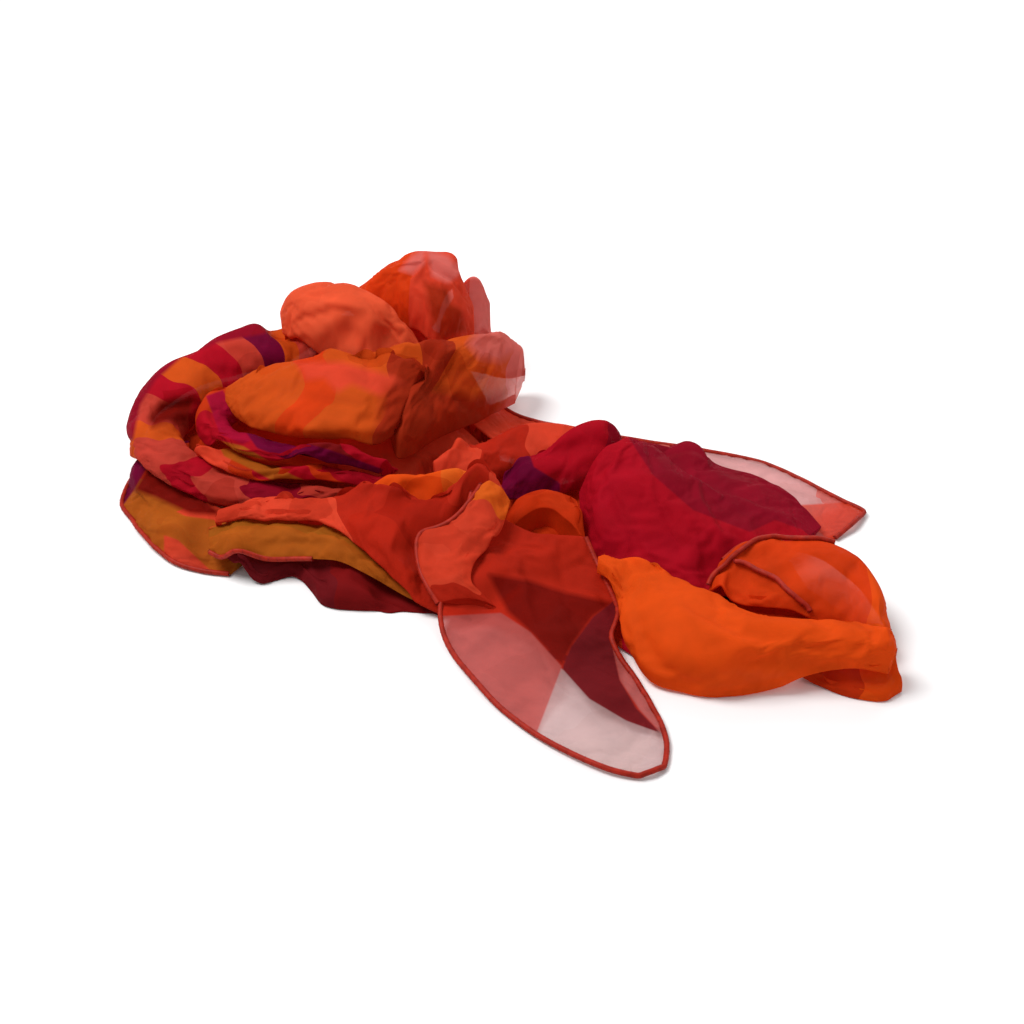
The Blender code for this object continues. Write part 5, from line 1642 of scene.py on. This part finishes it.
# %% Hem and thread materials, and the hems themselves
def thread_silk(name, colour, roughness, bump_scale):
    """Rolled silk or sewing thread: opaque, with fine slanting fibres."""
    shader = Shader(name)
    place = shader.add("ShaderNodeTexCoord")
    tint = shader.mixed_colour("MULTIPLY", 1.0, linear(colour), shader.unevenness(place, 260.0, 2.0, 0.7, 1.1))
    fibres = shader.add("ShaderNodeTexNoise", Vector=place.outputs["Object"], Scale=bump_scale, Detail=2.0)
    bump = shader.add("ShaderNodeBump", Strength=0.4, Distance=0.0002, Height=fibres.outputs["Fac"])
    return shader.finish(shader.add(
        "ShaderNodeBsdfPrincipled", Base_Color=tint, Roughness=roughness, Specular_IOR_Level=0.12,
        Normal=bump.outputs["Normal"],
    ))


def route_on(grid, path):
    """A line on the side of a sheet that faces the camera, drawn as a path in pixels."""
    seen = in_picture(grid).reshape(-1, 2)
    points = grid.reshape(-1, 3)
    out = normals(grid).reshape(-1, 3)
    away = np.linalg.norm(points - CAMERA_PLACE, axis=1)
    corners = np.array(path, dtype=float)
    at = np.concatenate(([0.0], np.cumsum(np.linalg.norm(np.diff(corners, axis=0), axis=1))))
    line = []
    for place in np.arange(0, at[-1], ROUTE_STEP):
        pixel = np.array([np.interp(place, at, corners[:, k]) for k in (0, 1)])
        gap = np.linalg.norm(seen - pixel, axis=1)
        near = np.flatnonzero(gap < max(ROUTE_STEP, gap.min() + 0.5))
        best = near[away[near].argmin()]
        line.append(points[best] + out[best] * HEM / 2)
    line = np.array(line)
    smooth_line(line, 6)
    return line


HEM_TREE = hem_tree()
STITCH_TREE = stitch_tree()
HEM_SILK = thread_silk("rolled_hem_silk", HEM_COLOUR, 0.5, 1800.0)
SEWING_THREAD = thread_silk("sewing_thread", "burgundy", 0.45, 3000.0)
HEMS = {}
for name, *_, sides in STRETCHES:
    routes = [hem_route(SHEETS[name], sides, HEM_SHARES.get(name, 1.0))] if sides else []
    routes += [route_on(SHEETS[name], path) for path in DRAWN_HEMS.get(name, ())]
    HEMS[name] = []
    for number, route in enumerate(routes, 1):
        hem = HEM_TREE.grow(f"{name}_hem_{number}", route, HEM_SILK)
        stitches = STITCH_TREE.grow(f"{name}_stitches_{number}", route, SEWING_THREAD)
        HEMS[name] += [hem, stitches]
        print(f"{hem.name}: {np.linalg.norm(np.diff(route, axis=0), axis=1).sum():.0f} mm, ", end="")
        print(len(stitches.data.polygons), "faces of stitches")

# %% [markdown]
# ## What each sheet is
# Each stretch's flat cut, in metres, is printed as its piece is made. All of them together are part of one 90 cm
# square: the rest is folded away inside the heap, in the hidden layers and in cloth that is left out.

# %% [markdown]
# ## Floor and light
# The floor is plain and pale. The light is that of a photo tent: a large soft lamp above and to the left, weaker ones
# from the other sides and a bright surround, so that light also comes through the sheer cloth from behind.

# %% Floor
FLOOR_HALF = 3.0  # m
floor_corners = [(x * FLOOR_HALF, y * FLOOR_HALF, 0) for x, y in ((-1, -1), (1, -1), (1, 1), (-1, 1))]
floor_mesh = bpy.data.meshes.new("floor")
floor_mesh.from_pydata(floor_corners, [], [(0, 1, 2, 3)])
floor = bpy.data.objects.new("floor", floor_mesh)
bpy.context.scene.collection.objects.link(floor)
paper = bpy.data.materials.new("pale_paper")
paper.use_nodes = True
paper_surface = paper.node_tree.nodes["Principled BSDF"]
paper_surface.inputs["Base Color"].default_value = (0.9, 0.9, 0.9, 1)
paper_surface.inputs["Roughness"].default_value = 0.9
floor_mesh.materials.append(paper)
print("floor is", 2 * FLOOR_HALF, "m wide")

# %% Lights
world = bpy.data.worlds.new("tent")
bpy.context.scene.world = world
world.use_nodes = True
surround = world.node_tree.nodes["Background"]
surround.inputs["Color"].default_value = WHITE
surround.inputs["Strength"].default_value = 0.42
LAMPS = (  # name, place in metres, size in metres, power in watts
    ("lamp_above_left", (-0.8, 0.1, 1.5), 0.8, 27),
    ("lamp_behind", (0.5, 1.3, 1.1), 1.0, 9),
    ("lamp_right", (1.4, -0.5, 0.9), 1.0, 3),
)
for name, place, size, power in LAMPS:
    lamp = bpy.data.lights.new(name, "AREA")
    lamp.size = size
    lamp.energy = power
    item = bpy.data.objects.new(name, lamp)
    item.location = place
    item.rotation_euler = (-Vector(place)).to_track_quat("-Z", "Y").to_euler()
    bpy.context.scene.collection.objects.link(item)
print("lamps:", len(LAMPS))
